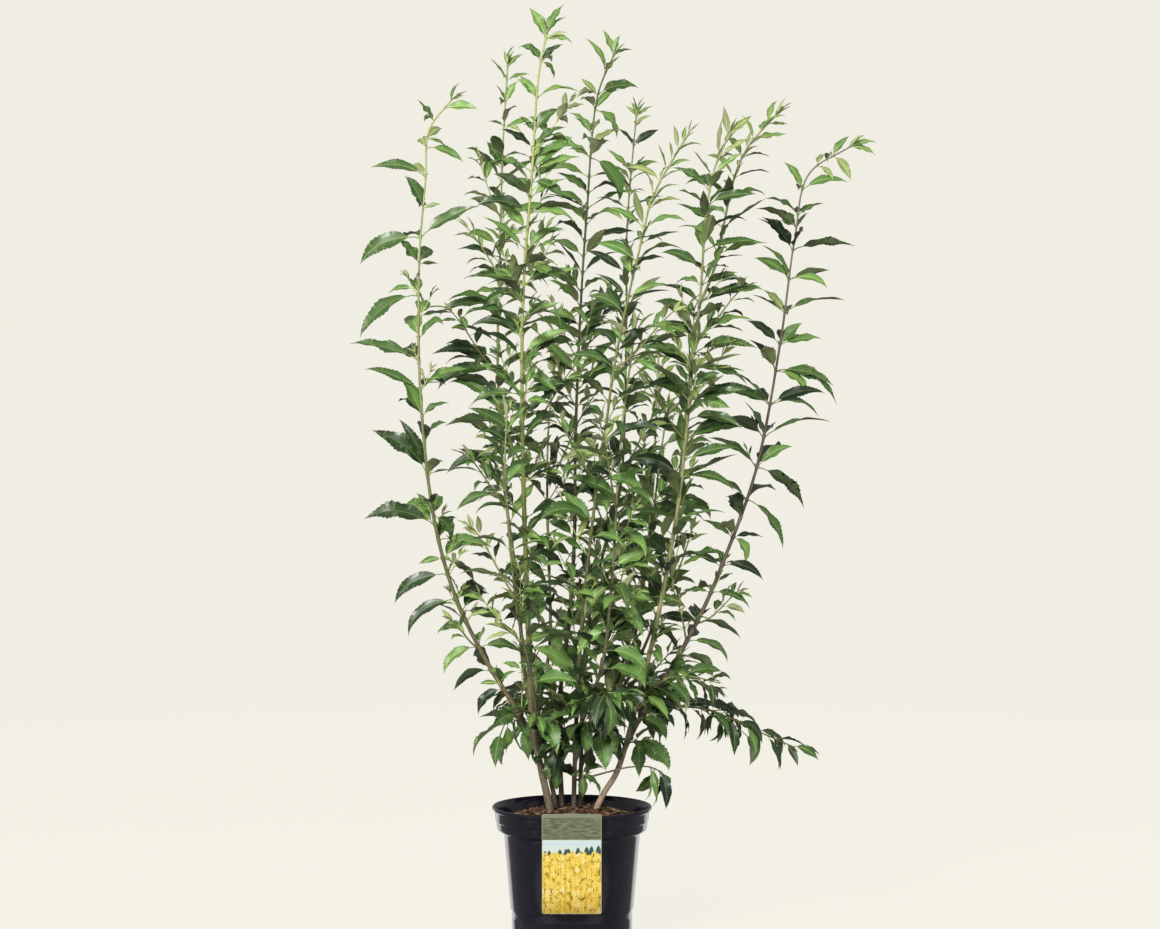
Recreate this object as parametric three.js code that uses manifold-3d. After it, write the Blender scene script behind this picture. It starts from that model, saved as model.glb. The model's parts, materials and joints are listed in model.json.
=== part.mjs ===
// A young forsythia shrub in full summer leaf, standing in its ten-litre nursery container.
// Units are millimetres, +Z is up, and the origin is the centre of the pot's flat underside.
// The front of the plant, where the hang label is, faces -Y.
import * as THREE from 'three';
import { mergeVertices } from 'three/addons/utils/BufferGeometryUtils.js';
import Module from 'manifold-3d';

const wasm = await Module();
wasm.setup();

// ---------------------------------------------------------------- driving sizes
const POT_HEIGHT = 240;
const RIM_RADIUS = 139.5;
const BODY_TOP_RADIUS = 118.8;
const BODY_TOP = 195;
const FOOT_TOP = 66;
const FOOT_RADIUS = 104.8;
const WALL = 2.4;
const FLOOR = 3;
const POT_SIDES = 32;
const DRAIN_HOLES = 8;
const DRAIN_RADIUS = 6;
const DRAIN_RING = 82;

const GAP = 0.4; // clearance between neighbouring solids
const SOIL_EDGE = 219; // height of the potting mix against the wall
const SOIL_CROWN = 232; // height of the low mound the stems rise from
const MOUND_RADIUS = 63;
const STEM_FOOT = SOIL_CROWN + 0.3; // the flat cut under every stem

const LABEL_WIDTH = 101;
const LABEL_TOP = 245;
const LABEL_BOTTOM = 76;
const LABEL_THICK = 1.1;
const HOOK_WIDTH = 24;
const HOOK_DROP = 17;

const LIMB_SIDES = 6;
const CANE_STEPS = 8;
const FORK_STEPS = 4; // on the short side branches
const MASS_SIDES = 7;
const MASS_RINGS = 7;

const COLOUR = {
  pot: 0x28242d,
  soil: 0x5a3f2c,
  label: 0xd9be4e,
  cane: 0x8c8a5a,
  oldWood: 0x8a7863,
  branch: 0x6d6a45,
  upper: 0x6b9a3c,
  middle: 0x417a33,
  lower: 0x2f5a2b,
};

// ---------------------------------------------------------------- the stems
// Each limb runs through its way-points from foot to tip. "foot" and "tip" are radii.
// "from" names the limb that a fork leaves; forks are trimmed to sit against it.
const LIMBS = [
  { name: 'cane_front_left', foot: 6.4, tip: 1.6, way: [[-38, -12, STEM_FOOT], [-56, -24, 317], [-68, -34, 384], [-76, -61, 585], [-84, -92, 861], [-83, -115, 1116], [-68, -128, 1322], [-55, -134, 1502], [-42, -135, 1565]] },
  { name: 'cane_back_left', foot: 4.2, tip: 1.4, way: [[-28, 31, STEM_FOOT], [-53, 52, 339], [-78, 67, 421], [-100, 102, 631], [-121, 125, 788], [-135, 151, 1007], [-132, 169, 1210], [-127, 181, 1410], [-118, 185, 1568]] },
  { name: 'cane_centre', foot: 4.5, tip: 1.5, way: [[-18, 26, STEM_FOOT], [-22, 33, 341], [-20, 38, 438], [-5, 45, 565], [4, 52, 702], [6, 59, 879], [14, 67, 1093], [26, 71, 1282], [46, 75, 1495], [75, 75, 1567]] },
  { name: 'cane_front_centre', foot: 4.2, tip: 1.5, way: [[3, 4, STEM_FOOT], [5, -26, 317], [14, -100, 519], [34, -168, 731], [56, -212, 892], [74, -241, 1018], [115, -272, 1203], [133, -280, 1273], [192, -285, 1378]] },
  { name: 'cane_back_centre', foot: 4.0, tip: 1.3, way: [[15, 39, STEM_FOOT], [16, 65, 311], [25, 127, 520], [59, 168, 686], [87, 191, 789], [97, 222, 955], [100, 246, 1120], [102, 264, 1283], [120, 275, 1497]] },
  { name: 'cane_right', foot: 5.2, tip: 1.6, way: [[42, -6, STEM_FOOT], [56, -10, 263], [78, -17, 300], [118, -43, 445], [145, -61, 558], [183, -92, 775], [208, -120, 1031], [218, -128, 1122], [228, -136, 1262], [241, -139, 1334], [269, -140, 1400]] },
  { name: 'cane_left', from: 'cane_front_left', foot: 4.6, tip: 1.4, way: [[-65, -31, 356], [-93, -32, 405], [-151, -37, 500], [-203, -41, 610], [-239, -46, 745], [-262, -54, 968], [-263, -59, 1192], [-252, -61, 1330], [-246, -62, 1412], [-208, -62, 1464]] },
  { name: 'cane_far_right', from: 'cane_right', foot: 4.6, tip: 1.4, way: [[88, -23, 332], [145, -17, 443], [173, -14, 481], [228, -9, 581], [266, -5, 670], [322, 2, 826], [366, 10, 1054], [391, 13, 1233], [416, 15, 1346], [488, 15, 1394]] },
  { name: 'cane_back_right', from: 'cane_right', foot: 2.7, tip: 1.3, way: [[218, -128, 1110], [233, -118, 1143], [246, -105, 1181], [257, -90, 1231], [284, -65, 1343], [307, -59, 1388], [356, -55, 1443]] },
  { name: 'inner_cane_right', from: 'cane_back_centre', foot: 3.8, tip: 1.5, way: [[17, 73, 340], [48, 86, 395], [80, 96, 455], [105, 102, 530], [140, 124, 727], [153, 147, 953], [157, 150, 1053]] },
  { name: 'inner_cane_front', from: 'cane_front_centre', foot: 3.8, tip: 1.5, way: [[6, -40, 360], [20, -62, 400], [38, -88, 448], [55, -113, 510], [68, -146, 641], [84, -192, 894], [107, -205, 1068]] },
  { name: 'inner_cane_back', from: 'cane_back_left', foot: 3.8, tip: 1.5, way: [[-60, 56, 360], [-58, 78, 410], [-48, 105, 460], [-40, 132, 520], [-46, 192, 771], [-43, 212, 918], [-21, 225, 1112]] },
  { name: 'inner_cane_front_left', from: 'cane_front_left', foot: 3.7, tip: 1.4, way: [[-56, -24, 317], [-56, -52, 365], [-62, -86, 420], [-70, -114, 480], [-92, -147, 590], [-111, -189, 827], [-108, -195, 919]] },
  { name: 'inner_cane_back_right', from: 'cane_back_centre', foot: 3.8, tip: 1.5, way: [[16, 61, 300], [38, 80, 345], [72, 104, 405], [118, 134, 480], [167, 177, 607], [204, 230, 881], [218, 240, 1020]] },
  { name: 'inner_cane_middle', from: 'cane_front_centre', foot: 3.5, tip: 1.4, way: [[5, -26, 317], [26, -16, 362], [52, -5, 405], [80, 5, 455], [109, 13, 528], [132, 21, 668], [155, 28, 844], [169, 30, 941]] },
  { name: 'low_branch_right_upper', from: 'inner_cane_middle', foot: 2.4, tip: 1.1, way: [[66, 0, 431], [84, -30, 428], [116, -72, 437], [166, -95, 471], [203, -105, 474], [252, -115, 464]] },
  { name: 'low_branch_right_lower', from: 'cane_far_right', foot: 2.6, tip: 1.1, way: [[131, -19, 417], [187, -5, 414], [235, 8, 407], [284, 16, 388], [327, 20, 367], [392, 25, 338]] },
  { name: 'low_branch_base', from: 'cane_front_centre', foot: 2.3, tip: 1.1, way: [[4, -14, 284], [19, -24, 289], [61, -42, 303], [100, -51, 313], [133, -56, 314], [156, -58, 305]] },
  { name: 'low_branch_front_left', from: 'cane_front_left', foot: 2.4, tip: 1.1, way: [[-69, -38, 402], [-85, -60, 411], [-110, -80, 398], [-124, -90, 370]] },
  { name: 'low_branch_front', from: 'inner_cane_front', foot: 2.3, tip: 1.1, way: [[31, -78, 430], [45, -125, 446], [58, -185, 452], [62, -225, 437]] },
  { name: 'low_branch_back_left', from: 'inner_cane_back', foot: 2.4, tip: 1.1, way: [[-56, 83, 420], [-72, 140, 428], [-100, 205, 420], [-120, 255, 402]] },
  { name: 'low_branch_back_right', from: 'inner_cane_back_right', foot: 2.4, tip: 1.1, way: [[72, 104, 405], [108, 165, 424], [145, 236, 438], [165, 290, 428]] },
];

// ---------------------------------------------------------------- the foliage
// Each mass is an uneven body round a stretch of one limb. The stretch is "span", as heights on
// an upright cane; "over", how far past the tip it runs, takes the place of the upper height; or
// "part", as fractions of the length of a low branch. "reach" is the radius it is drawn to, and each
// lobe pushes the surface out by "by" near a fraction "at" of the mass and towards a bearing "to"
// in degrees (0 is +X, 90 is +Y on an upright cane).
const MASSES = [
  { name: 'foliage_front_left_middle', along: 'cane_front_left', span: [610, 1110], reach: 82, tone: 'middle', lobes: [{ at: 0.4, to: 200, by: 26 }, { at: 0.75, to: 230, by: 22 }] },
  { name: 'foliage_right_middle', along: 'cane_right', span: [590, 1090], reach: 80, tone: 'middle', lobes: [{ at: 0.5, to: 330, by: 34 }] },
  { name: 'foliage_front_middle', along: 'inner_cane_front', span: [610], over: 40, reach: 78, tone: 'middle', lobes: [{ at: 0.6, to: 270, by: 30 }] },
  { name: 'foliage_left_top', along: 'cane_left', span: [1140], over: 34, reach: 66, tone: 'upper', lobes: [{ at: 0.3, to: 180, by: 44 }, { at: 0.5, to: 0, by: 34 }] },
  { name: 'foliage_left_middle', along: 'cane_left', span: [790, 1130], reach: 66, tone: 'middle', lobes: [{ at: 0.76, to: 185, by: 84 }, { at: 0.25, to: 190, by: 24 }] },
  { name: 'foliage_left_low', along: 'cane_left', span: [450, 780], reach: 62, tone: 'lower', lobes: [{ at: 0.78, to: 175, by: 62 }, { at: 0.35, to: 200, by: 42 }] },
  { name: 'foliage_front_left_top', along: 'cane_front_left', span: [1120], over: 66, reach: 70, tone: 'upper', lobes: [{ at: 0.35, to: 270, by: 26 }, { at: 0.5, to: 10, by: 34 }] },
  { name: 'foliage_centre_top', along: 'cane_centre', span: [1090], over: 46, reach: 68, tone: 'upper', lobes: [{ at: 0.45, to: 0, by: 26 }] },
  { name: 'foliage_front_centre_top', along: 'cane_front_centre', span: [1000], over: 46, reach: 66, tone: 'upper', lobes: [{ at: 0.35, to: 270, by: 34 }] },
  { name: 'foliage_right_top', along: 'cane_right', span: [1100], over: 46, reach: 64, tone: 'upper', lobes: [{ at: 0.35, to: 285, by: 26 }, { at: 0.2, to: 0, by: 30 }] },
  { name: 'foliage_back_left_top', along: 'cane_back_left', span: [1080], over: 50, reach: 64, tone: 'upper', lobes: [{ at: 0.35, to: 115, by: 34 }] },
  { name: 'foliage_back_centre_top', along: 'cane_back_centre', span: [1060], over: 44, reach: 64, tone: 'upper', lobes: [{ at: 0.35, to: 90, by: 38 }] },
  { name: 'foliage_back_right_top', along: 'cane_back_right', span: [1170], over: 44, reach: 56, tone: 'upper', lobes: [{ at: 0.25, to: 60, by: 30 }] },
  { name: 'foliage_far_right_top', along: 'cane_far_right', span: [1075], over: 36, reach: 62, tone: 'upper', lobes: [{ at: 0.35, to: 0, by: 58 }, { at: 0.6, to: 180, by: 20 }] },
  { name: 'foliage_far_right_middle', along: 'cane_far_right', span: [800, 1065], reach: 60, tone: 'middle', lobes: [{ at: 0.5, to: 0, by: 70 }] },
  { name: 'foliage_far_right_low', along: 'cane_far_right', span: [520, 790], reach: 54, tone: 'lower', lobes: [{ at: 0.4, to: 0, by: 44 }] },
  { name: 'foliage_centre_middle', along: 'cane_centre', span: [570, 1080], reach: 76, tone: 'middle', lobes: [] },
  { name: 'foliage_back_left_middle', along: 'cane_back_left', span: [590, 1070], reach: 76, tone: 'middle', lobes: [{ at: 0.5, to: 120, by: 34 }] },
  { name: 'foliage_back_middle', along: 'inner_cane_back', span: [600], over: 44, reach: 78, tone: 'middle', lobes: [{ at: 0.5, to: 95, by: 36 }] },
  { name: 'foliage_back_right_middle', along: 'inner_cane_back_right', span: [600], over: 44, reach: 78, tone: 'middle', lobes: [{ at: 0.5, to: 70, by: 34 }] },
  { name: 'foliage_inner_right_middle', along: 'inner_cane_right', span: [620], over: 44, reach: 66, tone: 'middle', lobes: [] },
  { name: 'foliage_front_left_low', along: 'inner_cane_front_left', span: [390, 760], reach: 70, tone: 'lower', lobes: [{ at: 0.45, to: 225, by: 26 }] },
  { name: 'foliage_front_low', along: 'inner_cane_front', span: [350, 600], reach: 72, tone: 'lower', lobes: [{ at: 0.4, to: 270, by: 50 }] },
  { name: 'foliage_right_low', along: 'inner_cane_middle', span: [345, 640], reach: 72, tone: 'lower', lobes: [{ at: 0.5, to: 0, by: 30 }] },
  { name: 'foliage_back_low', along: 'inner_cane_back', span: [365, 590], reach: 72, tone: 'lower', lobes: [{ at: 0.4, to: 100, by: 40 }] },
  { name: 'foliage_back_right_low', along: 'inner_cane_back_right', span: [370, 590], reach: 66, tone: 'lower', lobes: [{ at: 0.5, to: 60, by: 40 }] },
  { name: 'foliage_left_hanging', along: 'low_branch_front_left', part: [0.35, 1.75], reach: 34, tone: 'lower', lobes: [] },
  { name: 'foliage_low_branch_upper', along: 'low_branch_right_upper', part: [0.4, 1.12], reach: 44, tone: 'lower', lobes: [] },
  { name: 'foliage_low_branch_lower', along: 'low_branch_right_lower', part: [0.2, 1.15], reach: 42, tone: 'lower', lobes: [] },
  { name: 'foliage_base_tuft', along: 'low_branch_base', part: [0.72, 1.45], reach: 30, tone: 'lower', lobes: [] },
];

// ---------------------------------------------------------------- helpers
// A three.js geometry becomes a solid once only its positions are left and shared corners are merged.
function toSolid(geometry) {
  const g = geometry.clone();
  g.deleteAttribute('normal');
  g.deleteAttribute('uv');
  const m = mergeVertices(g, 1e-4);
  const index = m.getIndex() ? m.getIndex().array : Uint32Array.from({ length: m.getAttribute('position').count }, (_, i) => i);
  // triangles that collapse at a pole are dropped
  const tri = [];
  for (let i = 0; i < index.length; i += 3) {
    const [a, b, c] = [index[i], index[i + 1], index[i + 2]];
    if (a !== b && b !== c && c !== a) tri.push(a, b, c);
  }
  const build = (t) => new wasm.Manifold(new wasm.Mesh({ numProp: 3, vertProperties: Float32Array.from(m.getAttribute('position').array), triVerts: Uint32Array.from(t) }));
  let solid = build(tri);
  if (solid.volume() < 0) {
    const flipped = [];
    for (let i = 0; i < tri.length; i += 3) flipped.push(tri[i], tri[i + 2], tri[i + 1]);
    solid = build(flipped);
  }
  return solid;
}

function toGeometry(solid) {
  const { vertProperties, triVerts, numProp } = solid.getMesh();
  const g = new THREE.BufferGeometry();
  const p = new Float32Array((vertProperties.length / numProp) * 3);
  for (let i = 0; i * numProp < vertProperties.length; i++) for (let k = 0; k < 3; k++) p[3 * i + k] = vertProperties[i * numProp + k];
  g.setAttribute('position', new THREE.BufferAttribute(p, 3));
  g.setIndex(new THREE.BufferAttribute(Uint32Array.from(triVerts), 1));
  g.computeVertexNormals();
  return g;
}

const largest = (solid) => solid.decompose().reduce((a, b) => (b.volume() > a.volume() ? b : a));

function addMesh(group, name, solid, colour, roughness) {
  const mesh = new THREE.Mesh(toGeometry(solid), new THREE.MeshStandardMaterial({ color: colour, roughness, metalness: 0 }));
  mesh.name = name;
  group.add(mesh);
}

// A closed turned body from a (radius, height) outline that starts and ends on the axis.
const turned = (outline) => toSolid(new THREE.LatheGeometry(outline.map(([r, z]) => new THREE.Vector2(r, z)), POT_SIDES).rotateX(Math.PI / 2));

// ---------------------------------------------------------------- limbs
function limbCurve(limb) {
  return new THREE.CatmullRomCurve3(limb.way.map((p) => new THREE.Vector3(...p)), false, 'centripetal');
}

// The radius falls faster in the lower half than towards the tip, over a slightly swollen foot.
function limbRadius(limb, t) {
  return (limb.tip + (limb.foot - limb.tip) * (1 - t) ** 1.45) * (1 + 0.08 * Math.exp(-t * 22));
}

// A cylinder bent along the limb; "grow" swells it evenly, to cut a clear seat in a neighbour.
function limbSolid(limb, grow = 0) {
  const curve = limb.curve;
  const steps = curve.getLength() < 400 ? FORK_STEPS : CANE_STEPS;
  const g = new THREE.CylinderGeometry(1, 1, 1, LIMB_SIDES, steps, false);
  const pos = g.getAttribute('position');
  const stations = Array.from({ length: steps + 1 }, (_, i) => Math.pow(i / steps, 0.92));
  const tangents = stations.map((t, i) => (i === 0 && !limb.from ? new THREE.Vector3(0, 0, 1) : curve.getTangentAt(t)));
  // the section is turned to the axis that the limb runs least along, so it never flips
  const axes = [new THREE.Vector3(1, 0, 0), new THREE.Vector3(0, 1, 0), new THREE.Vector3(0, 0, 1)];
  const most = axes.map((a) => Math.max(...tangents.map((t) => Math.abs(t.dot(a)))));
  const axis = axes[most.indexOf(Math.min(...most))];
  const frames = [];
  for (let i = 0; i <= steps; i++) {
    const t = stations[i];
    const centre = curve.getPointAt(t);
    const along = tangents[i];
    const side = axis.clone().addScaledVector(along, -along.dot(axis)).normalize();
    if (i === 0) centre.addScaledVector(along, -grow);
    if (i === steps) centre.addScaledVector(along, grow);
    frames.push({ t, centre, side, other: new THREE.Vector3().crossVectors(side, along) });
  }
  for (let k = 0; k < pos.count; k++) {
    const f = frames[Math.round((pos.getY(k) + 0.5) * steps)];
    const r = limbRadius(limb, f.t) + grow;
    const p = f.centre.clone().addScaledVector(f.side, pos.getX(k) * r).addScaledVector(f.other, pos.getZ(k) * r);
    pos.setXYZ(k, p.x, p.y, p.z);
  }
  return toSolid(g);
}

// ---------------------------------------------------------------- foliage masses
// Where an upright limb reaches a height, as a fraction of its length; beyond the tip it runs on straight.
function fractionAt(curve, height) {
  let low = 0;
  let high = 1;
  if (height >= curve.getPointAt(1).z) return 1 + (height - curve.getPointAt(1).z) / curve.getLength();
  for (let i = 0; i < 40; i++) {
    const mid = (low + high) / 2;
    if (curve.getPointAt(mid).z < height) low = mid;
    else high = mid;
  }
  return low;
}

function pointOn(curve, t) {
  if (t <= 1) return curve.getPointAt(Math.max(t, 0));
  const end = curve.getPointAt(1);
  const over = (t - 1) * curve.getLength();
  const way = curve.getTangentAt(1);
  return end.addScaledVector(way, over);
}

// The limb's own centre line through the mass, with a frame carried along it without twisting.
function massFrames(mass, limb) {
  const length = limb.curve.getLength();
  const from = mass.part ? mass.part[0] : fractionAt(limb.curve, mass.span[0]);
  const to = mass.part ? mass.part[1] : mass.over ? 1 + mass.over / length : fractionAt(limb.curve, mass.span[1]);
  const frames = [];
  let side = null;
  for (let i = 0; i <= MASS_RINGS; i++) {
    const t = from + ((to - from) * (1 - Math.cos((Math.PI * i) / MASS_RINGS))) / 2; // rings close up at the ends
    const along = limb.curve.getTangentAt(THREE.MathUtils.clamp(t, 0, 1));
    if (!side) side = Math.abs(along.x) < 0.8 ? new THREE.Vector3(1, 0, 0) : new THREE.Vector3(0, -1, 0);
    side = side.clone().addScaledVector(along, -along.dot(side)).normalize();
    frames.push({ centre: pointOn(limb.curve, t), along, side, other: new THREE.Vector3().crossVectors(along, side) });
  }
  return frames;
}

// A sphere drawn out along the limb; its rings are blunt below, narrower above, and ragged all round.
// "grow" swells it evenly, to cut a clear seat in a neighbour.
function massSolid(mass, number, grow = 0) {
  const limb = LIMBS.find((l) => l.name === mass.along);
  const frames = massFrames(mass, limb);
  const g = new THREE.SphereGeometry(1, MASS_SIDES, MASS_RINGS);
  const pos = g.getAttribute('position');
  for (let k = 0; k < pos.count; k++) {
    const polar = Math.acos(THREE.MathUtils.clamp(pos.getY(k), -1, 1));
    const u = 1 - polar / Math.PI; // 0 at the low end, 1 at the top
    const ring = Math.round(u * MASS_RINGS);
    const f = frames[ring];
    const bearing = Math.atan2(-pos.getZ(k), pos.getX(k));
    const p = f.centre.clone();
    if (ring === 0 || ring === MASS_RINGS) p.addScaledVector(f.along, ring ? grow : -grow);
    else {
      const body = Math.pow(Math.sin(polar), 0.75) * (1 - 0.36 * u);
      const ragged = 1 + 0.16 * Math.sin(2 * bearing + 5 * u + number) + 0.12 * Math.sin(3 * bearing - 9 * u + 1.7 * number);
      let r = mass.reach * body * ragged + grow;
      for (const lobe of mass.lobes) {
        const turn = Math.cos(bearing - THREE.MathUtils.degToRad(lobe.to));
        if (turn > 0) r += lobe.by * Math.exp(-Math.pow((u - lobe.at) / 0.16, 2)) * turn * turn;
      }
      p.addScaledVector(f.side, r * Math.cos(bearing)).addScaledVector(f.other, r * Math.sin(bearing));
      if (mass.part) p.z -= 0.35 * mass.reach * body; // leaves on the low branches hang
    }
    pos.setXYZ(k, p.x, p.y, p.z);
  }
  return toSolid(g);
}

// ---------------------------------------------------------------- assembly
const shrub = new THREE.Group();
shrub.name = 'forsythia_shrub';

// The container: a thin tapered shell with a stepped double rim, an inset foot and drain holes.
const potOutline = [
  [0, 0], [FOOT_RADIUS - 3, 0], [FOOT_RADIUS, 3.5], [FOOT_RADIUS + 0.9, FOOT_TOP - 4], [108, FOOT_TOP + 1],
  [BODY_TOP_RADIUS, BODY_TOP], [130, BODY_TOP + 3.5], [131, 213.5], [133.2, 215], [134.6, 231], [RIM_RADIUS, 232.5], [RIM_RADIUS, POT_HEIGHT],
  [RIM_RADIUS - 3.2, POT_HEIGHT], [132.2, 230.5], [128.6, 213.5], [116.4, BODY_TOP - 0.5], [108 - WALL, FOOT_TOP + 1], [FOOT_RADIUS - WALL - 0.6, FLOOR], [0, FLOOR],
];
let pot = turned(potOutline);
for (let i = 0; i < DRAIN_HOLES; i++) {
  const a = ((i + 0.5) / DRAIN_HOLES) * 2 * Math.PI;
  const drill = new THREE.CylinderGeometry(DRAIN_RADIUS, DRAIN_RADIUS, 4 * FLOOR, 6).rotateX(Math.PI / 2).translate(DRAIN_RING * Math.cos(a), DRAIN_RING * Math.sin(a), FLOOR / 2);
  pot = pot.subtract(toSolid(drill));
}
addMesh(shrub, 'pot', pot, COLOUR.pot, 0.42);

// The potting mix, mounded under the stems and lower against the wall.
const soil = turned([
  [0, FLOOR + GAP], [FOOT_RADIUS - WALL - 0.6 - GAP, FLOOR + GAP], [108 - WALL - GAP, FOOT_TOP + 1],
  [116.4 - GAP, BODY_TOP - 0.1], [128.6 - GAP, 213.9], [129.4 - GAP, SOIL_EDGE - 1], [112, SOIL_EDGE], [90, SOIL_EDGE + 2], [MOUND_RADIUS, SOIL_CROWN], [0, SOIL_CROWN],
]);
addMesh(shrub, 'potting_mix', soil, COLOUR.soil, 0.95);

// The hang label: a flat card in front of the pot with a tab that hooks over the rim.
const back = -RIM_RADIUS - GAP;
const card = new THREE.BoxGeometry(LABEL_WIDTH, LABEL_THICK, LABEL_TOP - LABEL_BOTTOM).translate(0, back - LABEL_THICK / 2, (LABEL_TOP + LABEL_BOTTOM) / 2);
const inner = back + 9.4; // the tab comes down inside the rim
const hookShape = new THREE.Shape([
  [back - 0.6, LABEL_TOP - 6], [back - 0.6, LABEL_TOP - 2], [inner + 1, LABEL_TOP - 2], [inner + 1, LABEL_TOP - HOOK_DROP], [inner, LABEL_TOP - HOOK_DROP], [inner, LABEL_TOP - 3.1], [back + 0.1, LABEL_TOP - 3.1], [back + 0.1, LABEL_TOP - 6],
].map(([y, z]) => new THREE.Vector2(y, z)));
const hook = new THREE.ExtrudeGeometry(hookShape, { depth: HOOK_WIDTH, bevelEnabled: false, steps: 1 });
// the outline is drawn in (Y, Z) and pushed out along X
hook.applyMatrix4(new THREE.Matrix4().set(0, 0, 1, -HOOK_WIDTH / 2, 1, 0, 0, 0, 0, 1, 0, 0, 0, 0, 0, 1));
addMesh(shrub, 'hang_label', toSolid(card).add(toSolid(hook)), COLOUR.label, 0.5);

// Stems and branches; a fork is cut back from the limb it leaves.
const limbBodies = new Map();
for (const limb of LIMBS) {
  limb.curve = limbCurve(limb);
  limb.curve.arcLengthDivisions = 400;
}
for (const limb of LIMBS) {
  let body = limbSolid(limb);
  if (limb.from) body = largest(body.subtract(limbSolid(LIMBS.find((l) => l.name === limb.from), 0.35)));
  limbBodies.set(limb.name, body);
  const colour = limb.from && limb.name.startsWith('low') ? COLOUR.branch : limb.foot > 5 ? COLOUR.oldWood : COLOUR.cane;
  addMesh(shrub, limb.name, body, colour, 0.75);
}

// Foliage; each mass is cut round every limb that runs through it and round its neighbours.
const overlaps = (a, b) => {
  const A = a.boundingBox();
  const B = b.boundingBox();
  return [0, 1, 2].every((k) => A.min[k] < B.max[k] && B.min[k] < A.max[k]);
};
const limbSeats = LIMBS.map((limb) => limbSolid(limb, 0.7));
const done = [];
MASSES.forEach((mass, i) => {
  let body = massSolid(mass, i);
  for (const other of done) if (overlaps(body, other)) body = body.subtract(other);
  for (const seat of limbSeats) if (overlaps(body, seat)) body = body.subtract(seat);
  body = largest(body);
  done.push(massSolid(mass, i, 0.7));
  addMesh(shrub, mass.name, body, COLOUR[mass.tone], 0.85);
});

export default shrub;
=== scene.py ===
import json
import math
import bpy
import bmesh
import numpy as np
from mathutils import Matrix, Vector

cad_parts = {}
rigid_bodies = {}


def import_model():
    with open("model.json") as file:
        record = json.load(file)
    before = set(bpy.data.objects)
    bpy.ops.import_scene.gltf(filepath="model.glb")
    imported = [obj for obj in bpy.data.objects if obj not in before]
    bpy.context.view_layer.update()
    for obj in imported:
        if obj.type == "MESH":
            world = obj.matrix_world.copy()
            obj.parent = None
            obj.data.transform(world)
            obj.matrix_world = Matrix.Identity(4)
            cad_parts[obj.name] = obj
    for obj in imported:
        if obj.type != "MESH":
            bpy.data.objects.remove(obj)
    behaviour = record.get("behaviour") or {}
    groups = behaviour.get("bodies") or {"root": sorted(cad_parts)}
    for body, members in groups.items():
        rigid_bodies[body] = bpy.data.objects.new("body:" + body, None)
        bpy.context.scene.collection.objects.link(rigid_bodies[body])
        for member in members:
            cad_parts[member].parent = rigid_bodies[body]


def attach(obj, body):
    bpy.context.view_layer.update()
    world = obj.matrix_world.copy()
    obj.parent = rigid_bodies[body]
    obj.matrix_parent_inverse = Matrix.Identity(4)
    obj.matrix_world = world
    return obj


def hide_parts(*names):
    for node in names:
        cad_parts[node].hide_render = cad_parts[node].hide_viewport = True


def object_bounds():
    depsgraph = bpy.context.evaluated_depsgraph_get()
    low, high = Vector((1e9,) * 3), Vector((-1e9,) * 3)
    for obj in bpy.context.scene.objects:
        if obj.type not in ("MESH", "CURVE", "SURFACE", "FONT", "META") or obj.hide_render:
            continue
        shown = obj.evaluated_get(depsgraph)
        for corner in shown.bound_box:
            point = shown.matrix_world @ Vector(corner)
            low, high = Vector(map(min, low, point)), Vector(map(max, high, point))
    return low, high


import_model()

CAD_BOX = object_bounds()
SEED = 20417
MM = 0.001


def srgb(h):
    """Linear colour of a hex tone."""
    c = [int(h[i:i + 2], 16) / 255 for i in (1, 3, 5)]
    return tuple(x / 12.92 if x <= 0.04045 else ((x + 0.055) / 1.055) ** 2.4 for x in c) + (1.0,)


# ------------------------------------------------------------------ camera, light and stage
scene = bpy.context.scene
scene.view_settings.view_transform = "Standard"
scene.view_settings.look = "None"
scene.view_settings.exposure = 0.0

cam_data = bpy.data.cameras.new("photo_camera")
cam_data.sensor_fit = "HORIZONTAL"
cam_data.sensor_width = 36.0
cam_data.lens = 36.0 * 2389.0 / 1160.0
cam_data.clip_start, cam_data.clip_end = 0.05, 60.0
cam = bpy.data.objects.new("photo_camera", cam_data)
cam.location = (0.014, -4.18, 0.836)
cam.rotation_euler = (math.radians(90), 0, 0)
scene.collection.objects.link(cam)
scene.camera = cam


def area_light(name, at, to, size, power, colour, mirrored=True):
    d = bpy.data.lights.new(name, "AREA")
    d.shape, d.size, d.energy, d.color = "DISK", size, power, colour
    o = bpy.data.objects.new(name, d)
    o.location = at
    o.rotation_euler = (Vector(to) - Vector(at)).to_track_quat("-Z", "Y").to_euler()
    o.visible_glossy = mirrored
    o.visible_camera = False
    scene.collection.objects.link(o)
    return o


area_light("key_light", (-1.6, -3.4, 2.5), (0, 0, 0.75), 1.2, 192, (1.0, 0.985, 0.95))
area_light("fill_light", (1.9, -3.8, 0.5), (0.05, 0, 0.55), 2.2, 84, (0.97, 0.98, 1.0), mirrored=False)
area_light("rim_light", (1.4, 2.6, 3.4), (0, 0, 1.0), 1.4, 42, (1.0, 1.0, 0.98), mirrored=False)
# two large soft boxes seen only in the gloss of the pot and the leaves
for _name, _x in (("side_box_left", -1.3), ("side_box_right", 1.3)):
    area_light(_name, (_x * 0.9, 2.2, -0.52), (0, 0, 0.05), 1.1, 3.6, (0.95, 0.95, 1.0)).visible_diffuse = False
# a low card in front of the pot, seen only as the soft sheen round its foot
_card = area_light("foot_card", (0, -0.42, -0.10), (0, -0.42, 1.0), 1.5, 0.34, (0.93, 0.93, 1.0))
_card.data.shape, _card.data.size_y = "RECTANGLE", 0.20
_card.rotation_euler = (math.pi, 0, 0)
_card.visible_diffuse = False

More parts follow.
